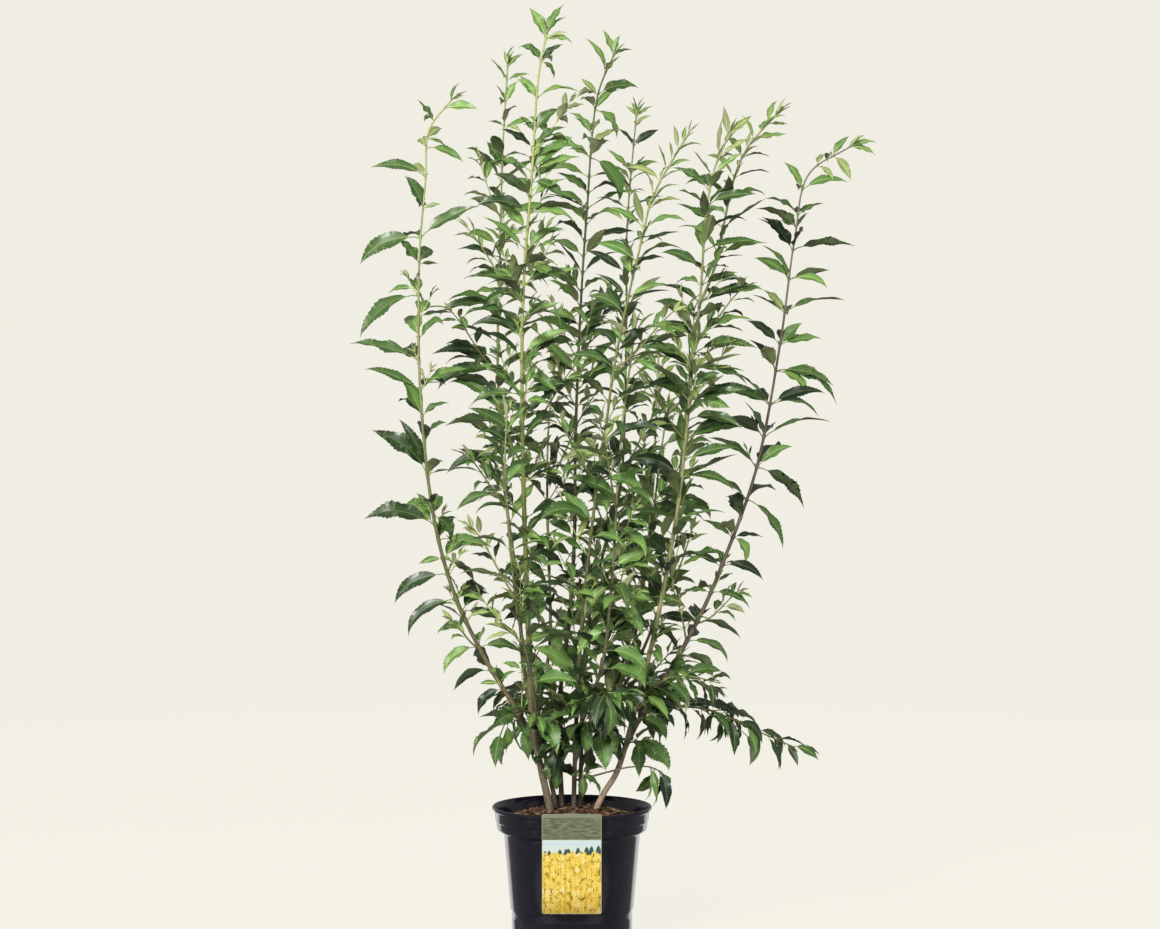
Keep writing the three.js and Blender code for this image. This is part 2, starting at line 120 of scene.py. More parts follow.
world = bpy.data.worlds.new("studio")
scene.world = world
world.use_nodes = True
_wt = world.node_tree
_tc = _wt.nodes.new("ShaderNodeTexCoord")
_sep = _wt.nodes.new("ShaderNodeSeparateXYZ")
_wt.links.new(_tc.outputs["Generated"], _sep.inputs[0])
_sky = _wt.nodes.new("ShaderNodeValToRGB")
_sky.color_ramp.elements[0].position, _sky.color_ramp.elements[0].color = 0.0, (0.34, 0.335, 0.31, 1)
_sky.color_ramp.elements[1].position, _sky.color_ramp.elements[1].color = 1.0, (1.0, 0.99, 0.97, 1)
_lift = _wt.nodes.new("ShaderNodeMath")
_lift.operation = "MULTIPLY_ADD"
_lift.inputs[1].default_value, _lift.inputs[2].default_value = 0.5, 0.5
_wt.links.new(_sep.outputs["Z"], _lift.inputs[0])
_wt.links.new(_lift.outputs[0], _sky.inputs["Fac"])
_wt.links.new(_sky.outputs[0], _wt.nodes["Background"].inputs["Color"])
_wt.nodes["Background"].inputs["Strength"].default_value = 0.50


# ------------------------------------------------------------------ materials
def nodes_of(name):
    m = bpy.data.materials.new(name)
    m.use_nodes = True
    t = m.node_tree
    p = t.nodes["Principled BSDF"]
    return m, t, p


def add(t, kind, **sets):
    n = t.nodes.new(kind)
    for k, v in sets.items():
        if k.startswith("i_"):
            n.inputs[k[2:].replace("_", " ")].default_value = v
        else:
            setattr(n, k, v)
    return n


def ramp(t, fac, stops, smooth=False):
    n = t.nodes.new("ShaderNodeValToRGB")
    cr = n.color_ramp
    cr.interpolation = "EASE" if smooth else "LINEAR"
    while len(cr.elements) > 1:
        cr.elements.remove(cr.elements[-1])
    cr.elements[0].position, cr.elements[0].color = stops[0]
    for pos, col in stops[1:]:
        e = cr.elements.new(pos)
        e.color = col
    if fac is not None:
        t.links.new(fac, n.inputs["Fac"])
    return n


def maths(t, op, a, b=None, c=None, clamp=False):
    n = t.nodes.new("ShaderNodeMath")
    n.operation = op
    n.use_clamp = clamp
    for i, v in enumerate((a, b, c)):
        if v is None:
            continue
        if isinstance(v, (int, float)):
            n.inputs[i].default_value = v
        else:
            t.links.new(v, n.inputs[i])
    return n.outputs[0]


def mixed_colour(t, fac, a, b, mode="MIX"):
    n = t.nodes.new("ShaderNodeMix")
    n.data_type = "RGBA"
    n.blend_type = mode
    for sock, v in ((n.inputs[0], fac), (n.inputs[6], a), (n.inputs[7], b)):
        if isinstance(v, (int, float)):
            sock.default_value = v
        elif isinstance(v, tuple):
            sock.default_value = v
        else:
            t.links.new(v, sock)
    return n.outputs[2]


def plain_leaf(name, tone, rough, specular=0.5, sheen=0.0, coat=0.0):
    m, t, p = nodes_of(name)
    p.inputs["Base Color"].default_value = srgb(tone)
    p.inputs["Roughness"].default_value = rough
    p.inputs["Specular IOR Level"].default_value = specular
    p.inputs["Sheen Weight"].default_value = sheen
    p.inputs["Coat Weight"].default_value = coat
    return m


# tone of the upper face, its paler band beside the midrib, the under face and the midrib, one set to a spray; the sets
# from deep to bright are partly the leaves' own colour and partly painted shade and painted light
LEAF_TONES = {
    "deep":    ("#172614", "#1d2e19", "#434f35", "#54623f"),
    "shade":   ("#25391d", "#2d4423", "#545f40", "#6a7649"),
    "middle":  ("#3b5829", "#456331", "#69754e", "#88945a"),
    "fresh":   ("#517536", "#5c813f", "#7e895c", "#a0aa6b"),
    "bright":  ("#668742", "#73984d", "#8f986c", "#b4bd80"),
    "light":   ("#7d8e51", "#8b9c5c", "#999e75", "#bcc28c"),
    "young":   ("#87935a", "#95a166", "#9b9d77", "#bcc193"),
    "yellow":  ("#b5ad4c", "#c1ba5a", "#ada760", "#d5d28e"),
}
TONE_NAMES = list(LEAF_TONES)
LEAF_SLOTS = []
for tone, (up, band, low, rib) in LEAF_TONES.items():
    gloss = 0.40 if tone in ("deep", "shade", "middle", "fresh", "bright") else 0.46
    LEAF_SLOTS.append(plain_leaf("leaf_upper_" + tone, up, gloss - (0.07 if tone in ("deep", "shade", "middle") else 0.02), 0.46 if tone in ("deep", "shade", "middle") else 0.36))
    LEAF_SLOTS.append(plain_leaf("leaf_band_" + tone, band, gloss, 0.34))
    LEAF_SLOTS.append(plain_leaf("leaf_under_" + tone, low, 0.66, 0.16, sheen=0.02))
    LEAF_SLOTS.append(plain_leaf("leaf_midrib_" + tone, rib, 0.5, 0.4))
PER_TONE = 4


def bark_material(name, low, mid, high, z_low, z_mid, z_high, dark=0.5):
    """Bark that runs from grey-brown cork at the foot to green skin at the tip, streaked, with pale pores."""
    m, t, p = nodes_of(name)
    tc = add(t, "ShaderNodeTexCoord")
    xyz = add(t, "ShaderNodeSeparateXYZ")
    t.links.new(tc.outputs["Object"], xyz.inputs[0])
    broad = add(t, "ShaderNodeTexNoise", i_Scale=26.0, i_Detail=3.0)
    t.links.new(tc.outputs["Object"], broad.inputs["Vector"])
    wander = maths(t, "MULTIPLY", maths(t, "SUBTRACT", broad.outputs["Fac"], 0.5), 0.22)
    z = maths(t, "ADD", xyz.outputs["Z"], wander)
    span = z_high - z_low
    fac = maths(t, "DIVIDE", maths(t, "SUBTRACT", z, z_low), span, clamp=True)
    base = ramp(t, fac, [(0.0, srgb(low)), ((z_mid - z_low) / span, srgb(mid)), (1.0, srgb(high))])
    # streaks that follow the stem
    mp = add(t, "ShaderNodeMapping")
    mp.inputs["Scale"].default_value = (520.0, 520.0, 42.0)
    t.links.new(tc.outputs["Object"], mp.inputs["Vector"])
    streak = add(t, "ShaderNodeTexNoise", i_Scale=1.0, i_Detail=4.0, i_Roughness=0.6)
    t.links.new(mp.outputs[0], streak.inputs["Vector"])
    shade = ramp(t, streak.outputs["Fac"], [(0.30, (1 - dark, 1 - dark, 1 - dark, 1)), (0.62, (1.08, 1.06, 1.0, 1))])
    col = mixed_colour(t, 1.0, base.outputs[0], shade.outputs[0], "MULTIPLY")
    # pale corky pores
    mp2 = add(t, "ShaderNodeMapping")
    mp2.inputs["Scale"].default_value = (300.0, 300.0, 150.0)
    t.links.new(tc.outputs["Object"], mp2.inputs["Vector"])
    pore = add(t, "ShaderNodeTexVoronoi", i_Scale=1.0)
    t.links.new(mp2.outputs[0], pore.inputs["Vector"])
    spot = ramp(t, pore.outputs["Distance"], [(0.10, (1, 1, 1, 1)), (0.24, (0, 0, 0, 1))])
    col = mixed_colour(t, maths(t, "MULTIPLY", spot.outputs[0], 0.5), col, srgb("#cdbd9c"))
    t.links.new(col, p.inputs["Base Color"])
    rough = maths(t, "MULTIPLY_ADD", streak.outputs["Fac"], 0.35, 0.42)
    t.links.new(rough, p.inputs["Roughness"])
    p.inputs["Specular IOR Level"].default_value = 0.35
    bump = add(t, "ShaderNodeBump", i_Strength=0.5, i_Distance=0.0006)
    t.links.new(maths(t, "ADD", streak.outputs["Fac"], spot.outputs[0]), bump.inputs["Height"])
    t.links.new(bump.outputs[0], p.inputs["Normal"])
    return m


# ------------------------------------------------------------------ limbs
# way points in millimetres from foot to tip, foot and tip radius, and the limb it forks from
LIMBS = {
    "cane_front_left": (6.4, 1.6, None, [(-38, -12, 232.3), (-56, -24, 317), (-68, -34, 384), (-76, -61, 585), (-84, -92, 861), (-83, -115, 1116), (-68, -128, 1322), (-55, -134, 1502), (-42, -135, 1565)]),
    "cane_back_left": (4.2, 1.4, None, [(-28, 31, 232.3), (-53, 52, 339), (-78, 67, 421), (-100, 102, 631), (-121, 125, 788), (-135, 151, 1007), (-132, 169, 1210), (-127, 181, 1410), (-118, 185, 1568)]),
    "cane_centre": (4.5, 1.5, None, [(-18, 26, 232.3), (-22, 33, 341), (-20, 38, 438), (-5, 45, 565), (4, 52, 702), (6, 59, 879), (14, 67, 1093), (26, 71, 1282), (46, 75, 1495), (75, 75, 1567)]),
    "cane_front_centre": (4.2, 1.5, None, [(3, 4, 232.3), (5, -26, 317), (14, -100, 519), (34, -168, 731), (56, -212, 892), (74, -241, 1018), (115, -272, 1203), (133, -280, 1273), (192, -285, 1378)]),
    "cane_back_centre": (4.0, 1.3, None, [(15, 39, 232.3), (16, 65, 311), (25, 127, 520), (59, 168, 686), (87, 191, 789), (97, 222, 955), (100, 246, 1120), (102, 264, 1283), (120, 275, 1497)]),
    "cane_right": (5.2, 1.6, None, [(42, -6, 232.3), (56, -10, 263), (78, -17, 300), (118, -43, 445), (145, -61, 558), (183, -92, 775), (208, -120, 1031), (218, -128, 1122), (228, -136, 1262), (241, -139, 1334), (269, -140, 1400)]),
    "cane_left": (4.6, 1.4, "cane_front_left", [(-65, -31, 356), (-93, -32, 405), (-151, -37, 500), (-203, -41, 610), (-239, -46, 745), (-262, -54, 968), (-263, -59, 1192), (-252, -61, 1330), (-246, -62, 1412), (-208, -62, 1464)]),
    "cane_far_right": (4.6, 1.4, "cane_right", [(88, -23, 332), (145, -17, 443), (173, -14, 481), (228, -9, 581), (266, -5, 670), (322, 2, 826), (366, 10, 1054), (391, 13, 1233), (416, 15, 1346), (488, 15, 1394)]),
    "cane_back_right": (2.7, 1.3, "cane_right", [(218, -128, 1110), (233, -118, 1143), (246, -105, 1181), (257, -90, 1231), (284, -65, 1343), (307, -59, 1388), (356, -55, 1443)]),
    "inner_cane_right": (3.8, 1.5, "cane_back_centre", [(17, 73, 340), (48, 86, 395), (80, 96, 455), (105, 102, 530), (140, 124, 727), (153, 147, 953), (157, 150, 1053)]),
    "inner_cane_front": (3.8, 1.5, "cane_front_centre", [(6, -40, 360), (20, -62, 400), (38, -88, 448), (55, -113, 510), (68, -146, 641), (84, -192, 894), (107, -205, 1068)]),
    "inner_cane_back": (3.8, 1.5, "cane_back_left", [(-60, 56, 360), (-58, 78, 410), (-48, 105, 460), (-40, 132, 520), (-46, 192, 771), (-43, 212, 918), (-21, 225, 1112)]),
    "inner_cane_front_left": (3.7, 1.4, "cane_front_left", [(-56, -24, 317), (-56, -52, 365), (-62, -86, 420), (-70, -114, 480), (-92, -147, 590), (-111, -189, 827), (-108, -195, 919)]),
    "inner_cane_back_right": (3.8, 1.5, "cane_back_centre", [(16, 61, 300), (38, 80, 345), (72, 104, 405), (118, 134, 480), (167, 177, 607), (204, 230, 881), (218, 240, 1020)]),
    "inner_cane_middle": (3.5, 1.4, "cane_front_centre", [(5, -26, 317), (26, -16, 362), (52, -5, 405), (80, 5, 455), (109, 13, 528), (132, 21, 668), (155, 28, 844), (169, 30, 941)]),
    "low_branch_right_upper": (2.4, 1.1, "inner_cane_middle", [(66, 0, 431), (84, -30, 428), (116, -72, 437), (166, -95, 471), (203, -105, 474), (252, -115, 464)]),
    "low_branch_right_lower": (2.6, 1.1, "cane_far_right", [(131, -19, 417), (187, -5, 414), (235, 8, 407), (284, 16, 388), (327, 20, 367), (392, 25, 338)]),
    "low_branch_base": (2.3, 1.1, "cane_front_centre", [(4, -14, 284), (19, -24, 289), (61, -42, 303), (100, -51, 313), (133, -56, 314), (156, -58, 305)]),
    "low_branch_front_left": (2.4, 1.1, "cane_front_left", [(-69, -38, 402), (-85, -60, 411), (-110, -80, 398), (-124, -90, 370)]),
    "low_branch_front": (2.3, 1.1, "inner_cane_front", [(31, -78, 430), (45, -125, 446), (58, -185, 452), (62, -225, 437)]),
    "low_branch_back_left": (2.4, 1.1, "inner_cane_back", [(-56, 83, 420), (-72, 140, 428), (-100, 205, 420), (-120, 255, 402)]),
    "low_branch_back_right": (2.4, 1.1, "inner_cane_back_right", [(72, 104, 405), (108, 165, 424), (145, 236, 438), (165, 290, 428)]),
}

# which stretch of which limb each foliage node clothes: height range in millimetres, or share of the limb
FOLIAGE = {
    "foliage_front_left_middle": ("cane_front_left", 610, 1110), "foliage_right_middle": ("cane_right", 590, 1090),
    "foliage_front_middle": ("inner_cane_front", 610, 1110), "foliage_left_top": ("cane_left", 1140, 1500),
    "foliage_left_middle": ("cane_left", 790, 1130), "foliage_left_low": ("cane_left", 450, 780),
    "foliage_front_left_top": ("cane_front_left", 1120, 1630), "foliage_centre_top": ("cane_centre", 1090, 1620),
    "foliage_front_centre_top": ("cane_front_centre", 1000, 1420), "foliage_right_top": ("cane_right", 1100, 1450),
    "foliage_back_left_top": ("cane_back_left", 1080, 1620), "foliage_back_centre_top": ("cane_back_centre", 1060, 1540),
    "foliage_back_right_top": ("cane_back_right", 1170, 1490), "foliage_far_right_top": ("cane_far_right", 1075, 1430),
    "foliage_far_right_middle": ("cane_far_right", 800, 1065), "foliage_far_right_low": ("cane_far_right", 520, 790),
    "foliage_centre_middle": ("cane_centre", 570, 1080), "foliage_back_left_middle": ("cane_back_left", 590, 1070),
    "foliage_back_middle": ("inner_cane_back", 600, 1160), "foliage_back_right_middle": ("inner_cane_back_right", 600, 1070),
    "foliage_inner_right_middle": ("inner_cane_right", 620, 1100), "foliage_front_left_low": ("inner_cane_front_left", 390, 960),
    "foliage_front_low": ("inner_cane_front", 350, 600), "foliage_right_low": ("inner_cane_middle", 345, 980),
    "foliage_back_low": ("inner_cane_back", 365, 590), "foliage_back_right_low": ("inner_cane_back_right", 370, 590),
    "foliage_left_hanging": ("low_branch_front_left", None, 0.3), "foliage_low_branch_upper": ("low_branch_right_upper", None, 0.3),
    "foliage_low_branch_lower": ("low_branch_right_lower", None, 0.2), "foliage_base_tuft": ("low_branch_base", None, 0.6),
}


def smooth_path(points, step):
    """Centripetal curve through the way points, as points a step apart, in metres."""
    P = np.array(points, float) * MM
    G = np.vstack([2 * P[0] - P[1], P, 2 * P[-1] - P[-2]])
    out = []
    for i in range(1, len(G) - 2):
        p0, p1, p2, p3 = G[i - 1], G[i], G[i + 1], G[i + 2]
        d0, d1, d2 = (max(np.linalg.norm(b - a) ** 0.5, 1e-6) for a, b in ((p0, p1), (p1, p2), (p2, p3)))
        t1 = ((p1 - p0) / d0 - (p2 - p0) / (d0 + d1) + (p2 - p1) / d1) * d1
        t2 = ((p2 - p1) / d1 - (p3 - p1) / (d1 + d2) + (p3 - p2) / d2) * d1
        u = np.linspace(0, 1, 60, endpoint=i == len(G) - 3)[:, None]
        out.append((2 * u ** 3 - 3 * u ** 2 + 1) * p1 + (u ** 3 - 2 * u ** 2 + u) * t1 + (-2 * u ** 3 + 3 * u ** 2) * p2 + (u ** 3 - u ** 2) * t2)
    C = np.vstack(out)
    L = np.concatenate([[0], np.cumsum(np.linalg.norm(np.diff(C, axis=0), axis=1))])
    n = max(4, int(round(L[-1] / step)) + 1)
    s = np.linspace(0, L[-1], n)
    return np.stack([np.interp(s, L, C[:, k]) for k in range(3)], 1), s


def tangents(P):
    T = np.gradient(P, axis=0)
    return T / np.linalg.norm(T, axis=1)[:, None]


def carried_frames(P):
    """Two cross axes carried along a path without twist."""
    T = tangents(P)
    a = np.array([1.0, 0, 0]) if abs(T[0][0]) < 0.8 else np.array([0, 1.0, 0])
    U = np.zeros_like(P)
    u = a - T[0] * (a @ T[0])
    for i in range(len(P)):
        u = u - T[i] * (u @ T[i])
        u = u / np.linalg.norm(u)
        U[i] = u
    return T, U, np.cross(T, U)


class Builder:
    """Collects vertices and faces of one piece."""

    def __init__(self):
        self.v, self.f, self.m, self.sharp, self.n = [], [], [], [], 0
        self.smooth = []

    def put(self, verts, faces, mats, sharp=None, smooth=True):
        verts = np.asarray(verts, float)
        self.v.append(verts)
        off = self.n
        self.f.extend([tuple(i + off for i in f) for f in faces])
        self.m.extend(mats if hasattr(mats, "__len__") else [mats] * len(faces))
        self.smooth.extend([smooth] * len(faces))
        self.sharp.append(np.zeros(len(verts), bool) if sharp is None else sharp)
        self.n += len(verts)

    def make(self, name, materials, slot=None, replaces=(), uv=None):
        me = bpy.data.meshes.new(name)
        V = np.vstack(self.v)
        me.from_pydata(V.tolist(), [], self.f)
        for m in materials:
            me.materials.append(m)
        me.polygons.foreach_set("material_index", np.array(self.m, np.int32))
        me.polygons.foreach_set("use_smooth", np.array(self.smooth, bool))
        S = np.concatenate(self.sharp)
        if S.any():
            e = np.zeros(len(me.edges) * 2, np.int32)
            me.edges.foreach_get("vertices", e)
            e = e.reshape(-1, 2)
            a = me.attributes.get("sharp_edge") or me.attributes.new("sharp_edge", "BOOLEAN", "EDGE")
            a.data.foreach_set("value", S[e[:, 0]] & S[e[:, 1]])
        if uv is not None:
            layer = me.uv_layers.new(name="own")
            idx = np.zeros(len(me.loops), np.int32)
            me.loops.foreach_get("vertex_index", idx)
            layer.data.foreach_set("uv", np.asarray(uv, np.float32)[idx].ravel())
        me.update()
        ob = bpy.data.objects.new(name, me)
        scene.collection.objects.link(ob)
        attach(ob, "root")
        if replaces:
            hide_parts(*replaces)
        return ob


def tube(B, P, R, sides, mat, relief=None, cap_start=True, cap_end=True, frames=None):
    """A closed round body along path P with radii R. relief is added to the radius, ring by ring."""
    T, U, W = frames if frames is not None else carried_frames(P)
    n = len(P)
    a = np.arange(sides) / sides * 2 * math.pi
    rad = np.repeat(np.asarray(R)[:, None], sides, 1)
    if relief is not None:
        rad = rad + relief
    V = P[:, None, :] + rad[:, :, None] * (np.cos(a)[None, :, None] * U[:, None, :] + np.sin(a)[None, :, None] * W[:, None, :])
    V = V.reshape(-1, 3)
    faces = []
    for i in range(n - 1):
        b, c = i * sides, (i + 1) * sides
        for j in range(sides):
            k = (j + 1) % sides
            faces.append((b + j, b + k, c + k, c + j))
    if cap_start:
        faces.append(tuple(range(sides - 1, -1, -1)))
    if cap_end:
        faces.append(tuple(range((n - 1) * sides, n * sides)))
    B.put(V, faces, mat)
    return len(V)


# ------------------------------------------------------------------ the leaf
def leaf_outline(s):
    a, b = 0.84, 1.42
    m = a / (a + b)
    return (np.clip(s, 0, 1) / m) ** a * (np.clip(1 - s, 0, 1) / (1 - m)) ** b


class LeafPlan:
    """Topology of a blade: an upper and an under sheet that share their rim. Between two stations the rim has one more point on each side, the tip of a tooth."""

    def __init__(self, stations, first_tooth, band_end):
        self.s = np.array(stations)
        n = self.n = len(stations)
        self.half = leaf_outline(self.s)
        self.half[0], self.half[-1] = 0.05, 0.010
        self.mid = self.s[:-1] + 0.64 * np.diff(self.s)
        self.mid_half = leaf_outline(self.mid)
        self.mid_half[0] = self.half[0] + 0.64 * (self.half[1] - self.half[0])
        self.mid_half[-1] = max(self.mid_half[-1] * 0.9, 0.02)
        self.tooth = np.where(np.arange(n - 1) >= first_tooth, 1.0, 0.0)
        self.tooth[-1] = 0.0
        faces, kinds = [], []
        up = [0, 1, 2, 3, 4, 5]
        for i in range(n - 1):
            A, Z = i * 8, (i + 1) * 8
            tl, tr = n * 8 + i * 2, n * 8 + i * 2 + 1
            band = 1 if i < band_end else 0
            faces.append((A + 0, A + 1, Z + 1, Z + 0, tl)); kinds.append(0)
            faces.append((A + 1, A + 2, Z + 2, Z + 1)); kinds.append(band)
            faces.append((A + 2, A + 3, Z + 3, Z + 2)); kinds.append(3)
            faces.append((A + 3, A + 4, Z + 4, Z + 3)); kinds.append(band)
            faces.append((A + 4, A + 5, tr, Z + 5, Z + 4)); kinds.append(0)
            faces.append((A + 0, tl, Z + 0, Z + 6, A + 6)); kinds.append(2)
            faces.append((A + 6, Z + 6, Z + 7, A + 7)); kinds.append(3)
            faces.append((A + 7, Z + 7, Z + 5, tr, A + 5)); kinds.append(2)
        ring = [0, 1, 2, 3, 4, 5, 7, 6]
        faces.append(tuple(ring[::-1])); kinds.append(2)
        faces.append(tuple((n - 1) * 8 + r for r in ring)); kinds.append(2)
        self.faces, self.kinds = faces, np.array(kinds)
        e = np.zeros((n, 8), bool)
        e[:, [0, 5]] = True
        e[0, :] = True
        e[-1, :] = True
        self.sharp = np.concatenate([e.reshape(-1), np.ones((n - 1) * 2, bool)])


FULL_LEAF = LeafPlan([0.0, 0.07, 0.18, 0.30, 0.40, 0.48, 0.555, 0.63, 0.70, 0.77, 0.835, 0.90, 1.0], 3, 9)
SMALL_LEAF = LeafPlan([0.0, 0.14, 0.34, 0.55, 0.75, 0.90, 1.0], 2, 4)


def leaf_mesh(plan, base, heading, rise0, rise1, late, length, width, roll0, roll1, bend, fold, wave, phase, tooth):
    """Vertices of one blade. heading is an angle round Z; rise is the slope at foot and tip, late how far out it turns; the midrib is sunk above and raised below."""
    s = plan.s
    n = plan.n
    rise = rise0 + (rise1 - rise0) * s ** late + 0.10 * np.sin(6.0 * s + phase) * s
    head = heading + bend * s ** 1.4
    D = np.stack([np.cos(rise) * np.cos(head), np.cos(rise) * np.sin(head), np.sin(rise)], 1)
    ds = np.diff(s) * length
    C = np.vstack([[0, 0, 0], np.cumsum((D[1:] + D[:-1]) / 2 * ds[:, None], axis=0)]) + base
    B = np.stack([-np.sin(head), np.cos(head), np.zeros(n)], 1)
    N = np.cross(D, B)
    roll = (roll0 + (roll1 - roll0) * s)[:, None]
    B, N = B * np.cos(roll) + N * np.sin(roll), N * np.cos(roll) - B * np.sin(roll)
    w = plan.half * width / 2
    rib = np.minimum(0.00055 * (1 - 0.75 * s) + 0.0001, w * 0.5)

    def lift(x, side, at):
        q = np.abs(x) / (width / 2)
        ripple = wave * width * np.sin(phase + side * 1.3 + at * 15.0) * q ** 1.2
        return fold * np.abs(x) - 0.42 * fold * np.abs(x) * q + ripple

    V = np.zeros((n, 8, 3))
    cols = [(-1, w, 0.0), (-1, w * 0.52, 0.0), (-1, rib, 0.00018), (1, rib, 0.00018), (1, w * 0.52, 0.0), (1, w, 0.0)]
    pleat = 0.032 * width * np.where(np.arange(n) % 2 == 0, 1.0, -1.0) * np.sin(np.pi * np.clip(s, 0, 1)) ** 0.7
    for k, (side, x, sink) in enumerate(cols):
        V[:, k] = C + B * (side * x)[:, None] + N * (lift(x, side, s) - sink + (pleat if k in (1, 4) else 0))[:, None]
    for k, side in ((6, -1), (7, 1)):
        V[:, k] = C + B * (side * rib)[:, None] + N * (lift(rib, side, s) - 0.00034 - 0.00045 * (1 - 0.6 * s))[:, None]
    f = 0.64
    Cm, Bm, Nm, Dm = C[:-1] * (1 - f) + C[1:] * f, B[:-1] * (1 - f) + B[1:] * f, N[:-1] * (1 - f) + N[1:] * f, D[:-1]
    wm = plan.mid_half * width / 2 * (1 + tooth * plan.tooth)
    T = np.zeros((n - 1, 2, 3))
    for k, side in ((0, -1), (1, 1)):
        T[:, k] = Cm + Bm * (side * wm)[:, None] + Nm * lift(wm, side, plan.mid)[:, None] + Dm * (plan.tooth * 0.010 * length)[:, None]
    return np.vstack([V.reshape(-1, 3), T.reshape(-1, 3)]), C, D


LIMIT_LO = np.array(CAD_BOX[0]) - 0.026
LIMIT_HI = np.array(CAD_BOX[1]) + 0.026
LIMIT_HI[2] = CAD_BOX[1][2] + 0.04


# ------------------------------------------------------------------ growing
LIGHT_FROM = np.array([-0.24, -0.74, 0.62])
paths = {}
for _name, (_foot, _tip, _parent, _way) in LIMBS.items():
    way = list(_way)
    if _parent:
        P0, _ = paths[_parent][:2]
        d = np.linalg.norm(P0 - np.array(way[0]) * MM, axis=1)
        i = max(0, int(np.argmin(d)) - 6)
        way = [tuple(P0[i] / MM)] + way
    else:
        x, y, z = way[0]
        way = [(x, y, z - 7.0)] + way
    P, s = smooth_path(way, 0.0016)
    t = s / s[-1]
    R = (_tip + (_foot - _tip) * (1 - t) ** 1.45) * (1 + 0.08 * np.exp(-22 * t)) * MM
    T, U, W = carried_frames(P)
    paths[_name] = (P, s, R, T, U, W)

mass_points = {}
for _m, (_limb, _a, _b) in FOLIAGE.items():
    P = paths[_limb][0]
    if _a is None:
        keep = P[int(len(P) * _b):]
    else:
        keep = P[(P[:, 2] >= _a * MM) & (P[:, 2] <= _b * MM)]
    mass_points[_m] = keep[::12]


def mass_of(point):
    """The foliage node whose stretch of limb is nearest."""
    best, name = 1e9, None
    for m, pts in mass_points.items():
        d = np.min(np.sum((pts - point) ** 2, axis=1))
        if d < best:
            best, name = d, m
    return name


leaf_builders = {m: Builder() for m in FOLIAGE}
twig_builders = {}
bud_places = {}
counts = {"leaves": 0, "shoots": 0}


def twig_builder(region):
    if region not in twig_builders:
        twig_builders[region] = Builder()
    return twig_builders[region]


def region_of(point):
    return "left" if point[0] < -0.12 else "right" if point[0] > 0.16 else "centre"


def unit(v):
    return v / max(np.linalg.norm(v), 1e-12)


def add_leaf(rng, at, out, length, width, rise0, rise1, tone, roll0=None, roll1=None, bend=None, fold=None, petiole=None, mass=None, stalk_tone=0, late=None):
    """One leaf on its stalk. at is where the stalk leaves the stem, out the heading round Z."""
    if roll0 is None:
        side = np.array([-math.sin(out), math.cos(out), 0.0])
        up = np.cross(np.array([math.cos(rise0) * math.cos(out), math.cos(rise0) * math.sin(out), math.sin(rise0)]), side)
        # some blades lie flat, the others turn towards the light
        turned = 0.66 if rng.random() < 0.55 else 0.10
        roll0 = turned * math.atan2(-(side @ LIGHT_FROM), max(up @ LIGHT_FROM, 0.25)) + rng.normal(0, 0.38)
    roll1 = roll0 + rng.normal(0, 0.42) if roll1 is None else roll1
    bend = rng.normal(0, 0.26) if bend is None else bend
    fold = rng.uniform(0.28, 0.75) if fold is None else fold
    petiole = length * rng.uniform(0.13, 0.19) if petiole is None else petiole
    plan = FULL_LEAF if length > 0.036 else SMALL_LEAF
    late = rng.uniform(0.8, 2.2) if late is None else late
    wave, phase = rng.uniform(0.04, 0.15), rng.uniform(0, 6.28)
    tooth = rng.uniform(0.09, 0.20) * float(np.clip((length - 0.02) / 0.05, 0.35, 1))
    for attempt in range(9):
        d0 = np.array([math.cos(rise0 + 0.25) * math.cos(out), math.cos(rise0 + 0.25) * math.sin(out), math.sin(rise0 + 0.25)])
        d1 = np.array([math.cos(rise0) * math.cos(out), math.cos(rise0) * math.sin(out), math.sin(rise0)])
        mid = at + d0 * petiole * 0.5
        foot = mid + d1 * petiole * 0.5
        V, C, D = leaf_mesh(plan, foot, out, rise0, rise1, late, length, width, roll0, roll1, bend, fold, wave, phase, tooth)
        out_of_box = (V.min(0) < LIMIT_LO).any() or (V.max(0) > LIMIT_HI).any()
        in_pot = bool(((V[:, 2] < 0.252) & (np.hypot(V[:, 0], V[:, 1]) < 0.148)).any())
        if not out_of_box and not in_pot:
            break
        if in_pot:
            rise1 += 0.35
            rise0 += 0.12
        else:
            length *= 0.90
            width *= 0.93
            rise1 += 0.10 if V[:, 2].max() < LIMIT_HI[2] else -0.2
            petiole *= 0.9
    else:
        return None
    mass = mass or mass_of(C[plan.n // 3])
    base = TONE_NAMES.index(tone) * PER_TONE
    leaf_builders[mass].put(V, plan.faces, (plan.kinds + base).tolist(), plan.sharp)
    # stalk, flattened into the blade's foot
    B = twig_builder(region_of(at))
    start = at - d0 * 0.0012
    P = np.array([start, at + d0 * petiole * 0.22, mid, mid + d1 * petiole * 0.28, foot + d1 * length * 0.012])
    r0 = 0.00052 + length * 0.0052
    tube(B, P, np.array([1.5, 1.08, 0.9, 0.84, 0.62]) * r0, 4, stalk_tone)
    counts["leaves"] += 1
    return C[-1]


